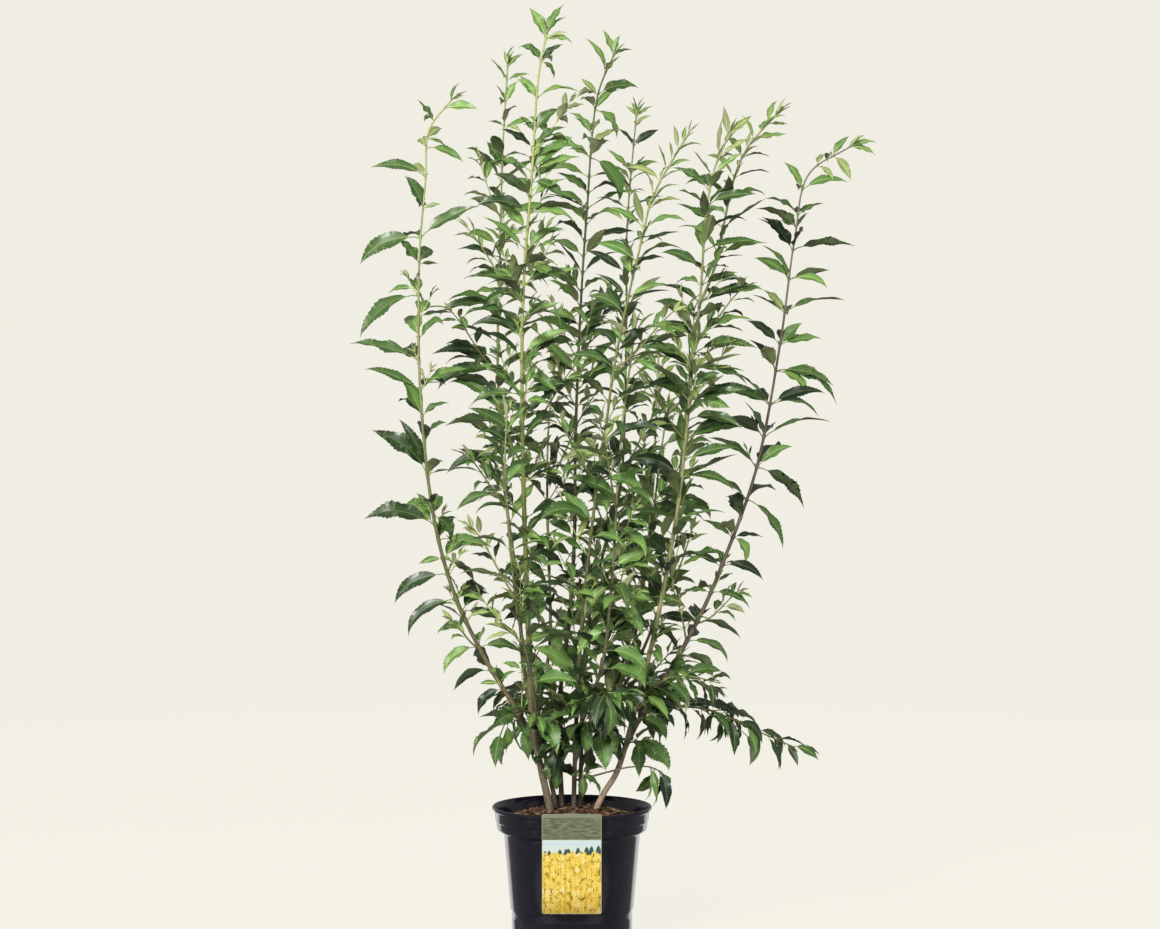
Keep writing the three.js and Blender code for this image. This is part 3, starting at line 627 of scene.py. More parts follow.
def grow_shoot(rng, at, out, rise, length, pairs, size, tones, droop=0.0, mass=None, thick=0.0011, start_roll=0.0, wide=(0.24, 0.32)):
    """A side shoot: a fine twig with leaf pairs crosswise and a small pair at its end."""
    n = 14
    u = np.linspace(0, 1, n)
    rises = rise + (0.35 - droop) * u * (1 - 0.3 * u) * 0.9
    heads = out + rng.normal(0, 0.12) * u
    D = np.stack([np.cos(rises) * np.cos(heads), np.cos(rises) * np.sin(heads), np.sin(rises)], 1)
    P = at + np.vstack([[0, 0, 0], np.cumsum(D[:-1] * (length / (n - 1)), axis=0)])
    R = np.linspace(thick, thick * 0.55, n)
    for k in range(pairs):
        i = int(round((k + 1) / (pairs + 0.4) * (n - 1)))
        if 0 < i < n:
            R[i] *= 1.22
    P[0] = P[0] - D[0] * 0.002
    B = twig_builder(region_of(at))
    tube(B, P, R, 6, 1 if "young" in tones or "light" in tones else 0)
    T, U, W = carried_frames(P)
    phase = start_roll + rng.normal(0, 0.2)
    for k in range(pairs):
        f = (k + 1) / (pairs + 0.4)
        i = min(n - 1, int(round(f * (n - 1))))
        last = k == pairs - 1
        tone = tones[min(len(tones) - 1, int(len(tones) * rng.random()))]
        for side in (0, 1):
            a = phase + k * math.pi / 2 + side * math.pi + rng.normal(0, 0.15)
            side_dir = unit(np.cos(a) * U[i] + np.sin(a) * W[i])
            lean = rng.uniform(0.75, 1.05) if not last else rng.uniform(0.35, 0.65)
            v = unit(np.cos(lean) * T[i] + np.sin(lean) * side_dir)
            L = size * rng.uniform(0.8, 1.12) * (1 - 0.42 * f) * (0.8 if last else 1)
            r0 = math.asin(np.clip(v[2], -0.95, 0.95))
            add_leaf(rng, P[i] + side_dir * R[i] * 0.6, math.atan2(v[1], v[0]), L, L * rng.uniform(*wide), r0 - droop * 0.3,
                     r0 - rng.uniform(0.25, 1.1) - droop * 0.7, tone, mass=mass, petiole=L * 0.11, stalk_tone=1)
    # the two smallest leaves stand at the end
    a = phase + pairs * math.pi / 2
    for side in (0, 1):
        side_dir = unit(np.cos(a + side * math.pi) * U[-1] + np.sin(a + side * math.pi) * W[-1])
        v = unit(0.93 * T[-1] + 0.36 * side_dir)
        r0 = math.asin(np.clip(v[2], -0.95, 0.95))
        L = size * rng.uniform(0.3, 0.42)
        add_leaf(rng, P[-1] - T[-1] * 0.001, math.atan2(v[1], v[0]), L, L * 0.24, r0, r0 - 0.15, tones[-1], mass=mass, petiole=L * 0.06, fold=0.6, stalk_tone=1)
    counts["shoots"] += 1


def grow_lateral(rng, at, out, rise, length, size, inner, mass=None):
    """A leafy side branch: starts outwards, turns up, and carries full leaves crosswise, smaller at its end."""
    n = max(16, int(length / 0.006))
    u = np.linspace(0, 1, n)
    rises = rise + (1.22 - rise) * (1 - np.exp(-2.6 * u)) * rng.uniform(0.7, 1.0) - 0.35 * u ** 3
    heads = out + rng.normal(0, 0.35) * u
    D = np.stack([np.cos(rises) * np.cos(heads), np.cos(rises) * np.sin(heads), np.sin(rises)], 1)
    P = at + np.vstack([[0, 0, 0], np.cumsum(D[:-1] * (length / (n - 1)), axis=0)])
    P[0] = P[0] - D[0] * 0.002
    R = np.linspace(0.0019, 0.0009, n)
    T, U, W = carried_frames(P)
    s_ = u * length
    phase = rng.uniform(0, 3.14)
    pos, k, spots = rng.uniform(0.022, 0.04), 0, []
    while pos < length - 0.004:
        i = min(n - 1, int(round(pos / length * (n - 1))))
        R[i] *= 1.2
        left = length - pos
        taper = float(np.clip(left / 0.16, 0, 1))
        z, x = P[i][2], P[i][0]
        tone = pick(rng, palette(z, x, inner))
        if left < 0.05:
            tone = pick(rng, {"light": 1.2, "bright": 2.0, "fresh": 2.0, "middle": 1.0})
        for side in (0, 1):
            a = phase + k * math.pi / 2 + side * math.pi + rng.normal(0, 0.16)
            side_dir = unit(np.cos(a) * U[i] + np.sin(a) * W[i])
            lean = rng.uniform(0.85, 1.2) - 0.4 * (1 - taper)
            v = unit(np.cos(lean) * T[i] + np.sin(lean) * side_dir)
            r0 = math.asin(np.clip(v[2], -0.95, 0.95))
            L = size * (0.45 + 0.55 * taper) * rng.uniform(0.84, 1.12)
            add_leaf(rng, P[i] + side_dir * R[i] * 0.6, math.atan2(v[1], v[0]), L, L * rng.uniform(0.24, 0.32), r0,
                     r0 - rng.uniform(0.40, 1.45), tone, mass=mass, stalk_tone=0 if taper > 0.6 else 1)
        pos += rng.uniform(0.033, 0.044) * (0.45 + 0.55 * taper)
        k += 1
    a = phase + k * math.pi / 2
    for side in (0, 1):
        side_dir = unit(np.cos(a + side * math.pi) * U[-1] + np.sin(a + side * math.pi) * W[-1])
        v = unit(0.92 * T[-1] + 0.38 * side_dir)
        r0 = math.asin(np.clip(v[2], -0.95, 0.95))
        L = size * rng.uniform(0.32, 0.42)
        add_leaf(rng, P[-1] - T[-1] * 0.001, math.atan2(v[1], v[0]), L, L * 0.27, r0, r0 - 0.2, "light", mass=mass, petiole=L * 0.06, fold=0.6, stalk_tone=1)
    tube(twig_builder(region_of(at)), P, R, 7, 2)
    counts["laterals"] = counts.get("laterals", 0) + 1


def pick(rng, table):
    names = list(table)
    w = np.array([table[n] for n in names], float)
    return names[int(rng.choice(len(names), p=w / w.sum()))]


def palette(z, x, inner):
    """How often each tone falls on a spray, by height: brighter at the tips, darker and fuller low inside, the darker
    tones there being painted shade of the crown.
    """
    if z > 1.38:
        return {"young": 0.5, "light": 2.0, "bright": 2.6, "fresh": 2.6, "middle": 2.0, "shade": 1.2}
    if z > 1.10:
        return {"light": 0.4, "bright": 1.6, "fresh": 2.4, "middle": 2.6, "shade": 2.1, "deep": 1.1}
    # more deep tones in the middle and on the inner stems: painted shade inside the crown
    if z > 0.72:
        return {"light": 0.35, "bright": 1.1, "fresh": 1.9, "middle": 2.4, "shade": 2.3, "deep": 2.0 + 0.5 * inner}
    return {"light": 0.40, "bright": 1.5, "fresh": 2.4, "middle": 2.7, "shade": 1.9, "deep": 0.8 + 0.3 * inner, "yellow": 0.03}


# how each limb is clothed: first leaf height, spacing, leaf length, share of axils with a side shoot in the middle and low down, and the turn of its first pair
HABIT = {
    "cane_front_left": (0.370, 36, 90, 0.40, 0.30, 0.15), "cane_back_left": (0.380, 36, 90, 0.32, 0.20, 0.10),
    "cane_centre": (0.400, 35, 90, 0.36, 0.25, 0.70), "cane_front_centre": (0.400, 36, 88, 0.30, 0.25, 0.35),
    "cane_back_centre": (0.400, 36, 88, 0.28, 0.20, -0.25), "cane_right": (0.410, 35, 90, 0.34, 0.25, 0.05),
    "cane_left": (0.400, 40, 86, 0.30, 0.40, 0.1), "cane_far_right": (0.440, 40, 82, 0.30, 0.40, 0.15),
    "cane_back_right": (1.150, 29, 76, 0.0, 0.0, 0.15),
    "inner_cane_right": (0.400, 38, 86, 0.28, 0.24, 0.4), "inner_cane_front": (0.400, 38, 88, 0.32, 0.26, 0.8),
    "inner_cane_back": (0.400, 38, 86, 0.28, 0.22, 0.3), "inner_cane_front_left": (0.370, 39, 86, 0.34, 0.22, 1.1),
    "inner_cane_back_right": (0.370, 38, 86, 0.26, 0.22, 0.6), "inner_cane_middle": (0.380, 38, 88, 0.30, 0.26, 0.0),
}
# low branches: where the leaves begin, spacing, leaf length, share of axils with a shoot, least and most width of a leaf, further droop
LOW = {
    "low_branch_right_upper": (0.20, 21, 64, 0.20, 0.26, 0.34, 0.3), "low_branch_right_lower": (0.12, 18, 58, 0.16, 0.25, 0.34, 0.7),
    "low_branch_base": (0.865, 9, 62, 0.0, 0.26, 0.33, 1.15), "low_branch_front_left": (0.50, 23, 86, 0.0, 0.34, 0.42, 0.75),
    "low_branch_front": (0.20, 21, 76, 0.3, 0.32, 0.42, 0.35), "low_branch_back_left": (0.20, 22, 74, 0.3, 0.32, 0.42, 0.3),
    "low_branch_back_right": (0.20, 22, 74, 0.3, 0.32, 0.42, 0.3),
}
nodes_on = {n: [] for n in LIMBS}

# long leaves that reach out into the gaps beside the outer boughs, beside the random ones; rows as in OUTLINE below
REACH = {
    "cane_back_left": [(905, -96, -6, 0.26, 0), (992, -104, -34, 0.26, 2), (1040, -118, 12, 0.24, 0), (1118, -96, -14, 0.25, 2),
                       (840, -90, -20, 0.27, 2), (966, -92, 18, 0.26, 0), (1010, -78, 40, 0.28, 0), (1190, -74, 30, 0.26, 0)],
    "cane_right": [(1045, -84, 22, 0.26, 0), (1085, -72, 34, 0.28, 0), (1170, -70, 26, 0.26, 0), (1275, 78, 22, 0.26, 0), (1300, -60, 40, 0.28, 0),
                   (893, 90, 22, 0.30, 0), (912, 84, -12, 0.32, 2), (935, -70, 30, 0.30, 0), (1065, -80, -14, 0.28, 2),
                   (826, 88, -24, 0.25, 2), (868, 98, 22, 0.24, 0), (950, 104, 14, 0.24, 0), (990, 92, -28, 0.26, 2),
                   (1030, 108, 16, 0.24, 0), (1108, 104, 24, 0.24, 0), (1195, 96, 12, 0.24, 0), (1128, 62, 22, 0.26, 0), (1100, -54, 30, 0.26, 0), (1150, 68, 12, 0.26, 2), (1010, -66, 30, 0.26, 0), (960, -78, -18, 0.26, 2), (846, 94, 20, 0.26, 0), (870, -70, 30, 0.28, 0), (885, 76, 36, 0.26, 0)],
    "cane_front_left": [(1040, -84, 20, 0.26, 2), (1130, -90, 8, 0.26, 2), (1255, 74, -20, 0.28, 2), (1300, -62, 40, 0.34, 0), (1330, 40, 60, 0.38, 1),
                        (1352, 66, 22, 0.32, 0), (1385, -50, 30, 0.34, 0), (1290, 60, 34, 0.34, 0), (1312, 50, -30, 0.38, 2), (1085, 62, 30, 0.30, 0),
                        (1140, 60, 26, 0.32, 0), (1168, 56, -24, 0.34, 2), (960, -88, -20, 0.26, 2), (905, 60, 52, 0.34, 1), (1010, 72, 44, 0.32, 0), (948, 66, 20, 0.30, 0), (985, 58, -26, 0.32, 2), (932, -60, 34, 0.30, 0), (1028, 46, 30, 0.34, 1), (1062, -50, 36, 0.30, 0), (1105, -58, 22, 0.28, 0)],
    "cane_front_centre": [(985, -62, 26, 0.30, 0), (1030, 56, 40, 0.30, 0), (1075, -60, 30, 0.28, 2), (1120, 64, 18, 0.26, 0), (1160, -56, 34, 0.26, 0), (1205, 62, 20, 0.24, 0), (1232, -58, 32, 0.24, 0), (1262, 54, 12, 0.24, 2), (1290, -48, 26, 0.24, 0)],
    "inner_cane_front": [(600, 44, -46, 0.44, -2), (640, -34, -50, 0.46, -2), (668, 52, 30, 0.42, 1), (705, -50, 34, 0.40, 1), (745, 40, -48, 0.44, -2),
                         (800, 50, 28, 0.40, 0), (850, -48, -30, 0.40, -2), (560, -46, -40, 0.46, -2), (520, 50, -44, 0.46, -2)],
    "inner_cane_front_left": [(600, 26, -52, 0.44, -2), (790, 34, 44, 0.42, 1)],
    "cane_centre": [(905, -58, 46, 0.34, 1), (960, 50, 62, 0.36, 1), (1005, -66, 24, 0.32, 0), (1060, 62, 40, 0.32, 0), (1120, -56, 50, 0.34, 0),
                    (1372, -52, 28, 0.32, 0), (1400, 46, 34, 0.34, 0), (1445, -40, 38, 0.30, 0), (1452, 44, 34, 0.30, 0), (1050, -62, -16, 0.34, 2), (1090, 56, 44, 0.34, 0), (1150, -58, 34, 0.30, 0), (1300, -60, 28, 0.30, 0),
                    (1330, -54, 36, 0.32, 0), (1085, -58, 22, 0.30, 0)],
    "cane_far_right": [(880, -58, 34, 0.30, 0), (915, -62, 20, 0.28, 0), (1180, -60, 40, 0.28, 0), (1240, -64, 36, 0.28, 0), (960, 90, 22, 0.26, 0), (1022, 84, -30, 0.26, 2), (1142, 64, -20, 0.27, 2), (1290, -56, 30, 0.26, 0)],
}

# leaves that give the outer boughs and the tips their outline, from the lowest up: height of the foot, how far the tip lies across and up from it (millimetres),
# width as a share of length, and how it is held (0 sideways, 1 behind the stem, 2 well arched, -2 hanging in front)
OUTLINE = {
    "cane_left": [
        (446, -41, -45, 0.30, 2), (477, -67, -31, 0.30, 2), (519, 67, -12, 0.30, 2), (533, -55, -48, 0.30, 2),
        (564, -48, -17, 0.30, 0), (581, 69, -17, 0.28, 0), (602, -73, -69, 0.26, 2), (645, -83, -55, 0.28, 2),
        (671, 50, -43, 0.30, 2), (680, -41, -9, 0.30, 0), (705, 73, -14, 0.28, 0), (731, -114, 7, 0.34, 0),
        (747, 9, -45, 0.46, -2), (750, -19, 40, 0.36, 1), (764, -28, 0, 0.30, 0), (816, -88, 83, 0.34, 0),
        (816, -43, 100, 0.24, 0), (920, 41, 22, 0.30, 0), (923, -9, 74, 0.40, 1), (965, -81, 33, 0.22, 0), (972, 78, 36, 0.28, 0),
        (1015, -119, 31, 0.26, 0), (1091, 61, 5, 0.28, 0), (1127, -97, -73, 0.30, 2), (1181, 31, 0, 0.32, 0),
        (1186, -5, 43, 0.50, 1), (1226, -99, -47, 0.32, 2), (1228, 100, 50, 0.28, 0), (1278, 31, 7, 0.30, 0),
        (1286, -12, 57, 0.44, 1), (1331, -92, 17, 0.27, 0), (1381, 62, -26, 0.28, 0), (1397, 17, -2, 0.30, 0),
        (1411, 38, -26, 0.30, 2), (1428, -19, 36, 0.40, 1), (1449, 48, -2, 0.34, 0), (1468, 14, 28, 0.30, 0), (1468, 21, 9, 0.30, 0),],
    "cane_far_right": [
        (528, 67, -42, 0.24, 2), (560, -56, 7, 0.28, 0), (567, 74, -25, 0.24, 2), (612, -49, 4, 0.26, 0), (616, 63, -28, 0.26, 2),
        (658, -56, 25, 0.28, 0), (669, 63, -21, 0.26, 2), (709, -53, 30, 0.26, 0), (709, 7, -44, 0.44, -2), (718, 51, 0, 0.28, 0),
        (774, -54, 39, 0.26, 0), (777, 65, -84, 0.22, 2), (830, -86, 47, 0.22, 0), (830, 79, -72, 0.30, 2), (833, 60, 35, 0.28, 0),
        (884, 116, 25, 0.24, 0), (886, -30, 63, 0.38, 0), (940, 84, -19, 0.20, 2), (944, -65, 58, 0.22, 0),
        (1000, 46, -42, 0.40, -2), (1000, 102, -58, 0.28, 2), (1002, -44, 56, 0.24, 0), (1046, -58, 44, 0.28, 0),
        (1053, 28, 40, 0.44, 1), (1053, 68, 9, 0.30, 0), (1102, 93, 21, 0.27, 0), (1112, -44, 30, 0.28, 0), (1114, -26, 42, 0.36, 1),
        (1160, 72, 16, 0.27, 0), (1163, -30, 60, 0.30, 0), (1212, 98, 7, 0.22, 0), (1219, -56, 56, 0.22, 0), (1219, -26, 58, 0.40, 1),
        (1251, 21, 26, 0.30, 0), (1274, 44, 23, 0.30, 0), (1317, 77, 14, 0.26, 0), (1326, -32, 49, 0.30, 0),
        (1361, 28, -28, 0.30, 2), (1377, 11, 37, 0.36, 1), (1382, 19, -44, 0.34, -2), (1393, 25, 21, 0.30, 0),
        (1393, 44, -16, 0.28, 0), (1393, 47, 9, 0.28, 0),],
    "cane_front_left": [
        (1332, -75, 10, 0.34, 2), (1332, 78, 25, 0.32, 0), (1352, 22, 44, 0.48, 0), (1371, 53, 36, 0.30, 0),
        (1398, 37, 41, 0.40, 0), (1406, -19, 27, 0.30, 1), (1415, -49, -12, 0.26, 2), (1456, 70, 15, 0.22, 2),
        (1459, -32, 31, 0.40, 2), (1461, -14, 41, 0.30, 1), (1518, 22, -29, 0.34, 2), (1522, -37, 24, 0.36, 2),
        (1522, 36, 31, 0.34, 0), (1556, 41, -10, 0.34, 2), (1566, -12, 54, 0.36, 0), (1566, 34, 12, 0.22, 0),
        (1573, 12, 50, 0.36, 0), (1573, 27, 28, 0.30, 0),],
    "cane_back_left": [
        (1377, -46, 15, 0.30, 0), (1392, -4, 51, 0.50, 1), (1394, 49, 5, 0.20, 2), (1454, 31, -13, 0.30, 2),
        (1457, -27, 9, 0.40, 0), (1496, -15, 33, 0.34, 0), (1501, 24, 40, 0.40, 0), (1538, -9, 40, 0.24, 1), (1545, 42, 11, 0.26, 0),
        (1560, 2, 42, 0.26, 0), (1560, 26, 27, 0.34, 0),],
    "cane_centre": [
        (1382, -39, 14, 0.24, 2), (1382, 16, -80, 0.38, -2), (1400, 25, 32, 0.40, 1), (1423, -28, 30, 0.26, 0),
        (1467, 18, -50, 0.44, -2), (1494, -18, 30, 0.30, 1), (1498, 69, 11, 0.36, 2), (1532, 14, 32, 0.30, 1),
        (1535, -28, 64, 0.24, 0), (1564, 27, 12, 0.34, 0), (1567, -14, 46, 0.34, 0), (1567, 11, 37, 0.40, 0),
        (1574, 32, 12, 0.22, 0),],
    "cane_back_centre": [
        (1377, 11, 34, 0.40, 1), (1379, 47, 20, 0.28, 0), (1381, -45, 45, 0.24, 0), (1429, 48, 30, 0.30, 0),
        (1442, -26, 35, 0.24, 0), (1467, 28, 20, 0.30, 0), (1485, -19, 20, 0.28, 0), (1485, 30, 19, 0.28, 0),
        (1487, -9, 28, 0.30, 0), (1487, 9, 28, 0.30, 0),],
}


def dealt(rng, z, left, way):
    """A tone for the leaves of one node: pale by the tip, deeper as painted shade for those held behind the stem,
    brighter as painted light for those hanging in front.
    """
    if left < 0.045:
        return pick(rng, {"young": 0.5, "light": 1.3, "bright": 1.8, "fresh": 1.8})
    if left < 0.13:
        return pick(rng, {"light": 1.3, "bright": 2.0, "fresh": 2.0, "middle": 1.6, "shade": 0.9})
    table = {"light": 0.4, "bright": 0.8, "fresh": 2.0, "middle": 2.8, "shade": 2.5, "deep": 1.4}
    if left < 0.34:
        table = {"light": 0.6, "bright": 1.1, "fresh": 2.3, "middle": 2.6, "shade": 2.0, "deep": 0.6}
    # leaves held behind the stem get darker tones, painted shade; leaves hanging in front get brighter ones, painted
    # light
    if way == 1:
        table = {"light": 0.5, "bright": 0.6, "fresh": 1.2, "middle": 1.8, "shade": 2.0, "deep": 2.0}
    elif way == -2:
        table = {"light": 0.4, "bright": 1.6, "fresh": 2.4, "middle": 2.0, "shade": 1.0, "deep": 0.8}
    return pick(rng, table)


def seen_leaf(rng, name, i, row, tone):
    """One leaf set by where its tip lies from its foot, rolled so that its face, or for a dark one now and then its back, is seen from the front."""
    P, s, R, T, U, W = paths[name]
    _, dx, dz, share, way = row
    flat = math.hypot(dx, dz) * MM
    dy = {0: rng.normal(0, 0.30), 1: rng.uniform(0.45, 0.85), 2: rng.normal(0, 0.24), -2: -rng.uniform(0.35, 0.7)}[way] * flat
    arch = {0: rng.uniform(0.35, 0.95), 1: rng.uniform(0.2, 0.6), 2: rng.uniform(0.75, 1.35), -2: rng.uniform(0.8, 1.3)}[way]
    stalk = math.hypot(flat, dy) * (0.17 if flat > 0.062 and way != 1 else 0.12)
    out = math.atan2(dy, dx)
    reach, climb = math.hypot(dx * MM, dy), dz * MM
    run, up = reach, climb
    for _again in (0, 1, 2):
        # what is left for the blade once its stalk has run out and up
        rise_of_stalk = math.atan2(up, run) + arch / 2 + 0.12
        run, up = max(reach - stalk * math.cos(rise_of_stalk), 0.004), climb - stalk * math.sin(rise_of_stalk)
    chord, mean = math.hypot(run, up), math.atan2(up, run)
    L = chord * (arch / 2) / math.sin(arch / 2)
    if tone in ("light", "young") and flat > 0.060:
        tone = "fresh"
    if tone in ("bright", "fresh") and flat > 0.090:
        tone = "middle"
    side_dir = unit(np.array([math.cos(out), math.sin(out), 0.0]))
    across_blade = np.array([-math.sin(out), math.cos(out), 0.0])
    up_blade = np.cross(np.array([math.cos(mean) * math.cos(out), math.cos(mean) * math.sin(out), math.sin(mean)]), across_blade)
    turn_to = math.atan2(across_blade[1], -up_blade[1])
    if tone in ("deep", "shade") and rng.random() < 0.35:
        turn_to -= math.copysign(math.pi, turn_to)
    seen = 0.42 if share < 0.25 else rng.uniform(0.48, 0.68)
    roll = float(np.clip(turn_to * seen, -1.25, 1.25)) + rng.normal(0, 0.12)
    add_leaf(rng, P[i] + side_dir * R[i] * 0.6, out, L, L * max(share, 0.24) * (0.90 if flat > 0.078 else 1.0), mean + arch / 2, mean - arch / 2, tone, roll0=roll, bend=rng.normal(0, 0.16),
             fold=rng.uniform(0.28, 0.62), petiole=stalk, stalk_tone=1 if tone in ("young", "light") else 0, late=rng.uniform(0.8, 1.3))


def reach_out(name, index):
    rng = np.random.default_rng(SEED + 1607 * index)
    P = paths[name][0]
    for row in REACH[name]:
        near = min(nodes_on[name], key=lambda j: abs(P[j][2] - row[0] * MM))
        span = math.hypot(row[1], row[2])
        share = min(row[3], 0.42 if span < 58 else 0.33 if span < 72 else 0.27)
        seen_leaf(rng, name, near, row[:3] + (share, row[4]), dealt(rng, P[near][2], paths[name][1][-1] - paths[name][1][near], row[4]))


def clothe_outline(name, index):
    """Leaves where they are seen, gathered to nodes, with further leaves turned to the front and back between them."""
    rng = np.random.default_rng(SEED + 607 * index)
    P, s, R, T, U, W = paths[name]
    groups = []
    for row in OUTLINE[name]:
        if groups and row[0] - groups[-1][0] <= 15:
            groups[-1][1].append(row)
        else:
            if groups and row[0] - groups[-1][0] > 62:
                groups.append([(row[0] + groups[-1][0]) / 2, []])
            groups.append([row[0], [row]])
    total = s[-1]
    for k, (height, rows) in enumerate(groups):
        i = min(int(np.argmin(np.abs(P[:, 2] - height * MM))), len(P) - 1)
        if nodes_on[name] and i - nodes_on[name][-1] < 5:
            i = nodes_on[name][-1]
        else:
            nodes_on[name].append(i)
        p, left = P[i], total - s[i]
        own = dealt(rng, p[2], left, rows[0][4]) if rows else "middle"
        for row in rows:
            seen_leaf(rng, name, i, row, own if row[4] == rows[0][4] and rng.random() < 0.6 else dealt(rng, p[2], left, row[4]))
        # leaves of the crosswise pairs, to the front and back
        depth = (1.0, -1.0) if not rows else (1.0,) if rng.random() < 0.75 else (-1.0,)
        taper = float(np.clip(left / 0.26, 0, 1))
        if left > 0.02:
            for way in depth:
                out = way * math.pi / 2 + rng.normal(0, 0.35)
                L = 0.078 * (0.45 + 0.55 * taper) * rng.uniform(0.85, 1.15)
                side_dir = np.array([math.cos(out), math.sin(out), 0.0])
                r0 = rng.uniform(0.35, 0.85)
                tone = pick(rng, palette(p[2], p[0], 0.0)) if left > 0.16 else "light"
                add_leaf(rng, p + side_dir * R[i] * 0.6, out, L, L * rng.uniform(0.28, 0.34), r0, r0 - rng.uniform(0.6, 1.3), tone, stalk_tone=0)
            if left > 0.35 and rng.random() < 0.5:
                out = rng.uniform(-0.9, 0.9) + (0.0 if name == "cane_left" else math.pi) + (math.pi if rng.random() < 0.35 else 0)
                grow_shoot(rng, p + np.array([math.cos(out), math.sin(out), 0.0]) * R[i] * 0.6, out, 0.95, rng.uniform(0.015, 0.045), int(rng.integers(1, 3)), rng.uniform(0.036, 0.052),
                           ("fresh", "bright", "light") if name == "cane_left" else ("middle", "shade", "fresh"))
    for side in (0, 1):
        side_dir = unit(math.cos(side * math.pi) * U[-1] + math.sin(side * math.pi) * W[-1])
        v = unit(0.95 * T[-1] + 0.30 * side_dir)
        r0 = math.asin(np.clip(v[2], -0.97, 0.97))
        LL = rng.uniform(0.024, 0.032)
        add_leaf(rng, P[-1] - T[-1] * 0.002, math.atan2(v[1], v[0]), LL, LL * 0.28, r0, r0 - 0.12, "young", fold=0.6, petiole=0.002, stalk_tone=1)


def across(t, a):
    """The direction at heading a, made square to the stem."""
    h = np.array([math.cos(a), math.sin(a), 0.0])
    return unit(h - (h @ t) * t)


def gap_share(name, z, side_dir):
    """Share of leaves left out where the sky shows between the low stems."""
    if z < 0.50 and side_dir[0] < -0.2 and name in ("cane_front_left", "cane_back_left", "inner_cane_front_left", "cane_left"):
        return 0.85
    if z < 0.74 and side_dir[0] < -0.35 and name in ("cane_front_left", "cane_back_left", "inner_cane_front_left"):
        return 0.76
    if 0.66 < z < 0.92 and (name.startswith("inner") or name in ("cane_centre", "cane_back_centre")):
        return 0.38
    if 0.68 < z < 0.90 and name in ("cane_front_centre", "cane_front_left"):
        return 0.16
    if 1.14 < z < 1.28 and side_dir[0] < -0.35 and name == "cane_right":
        return 0.7
    if z < 0.76 and side_dir[0] > 0.35 and name in ("cane_right", "inner_cane_right", "inner_cane_back_right", "inner_cane_middle"):
        return 0.74
    return 0.0


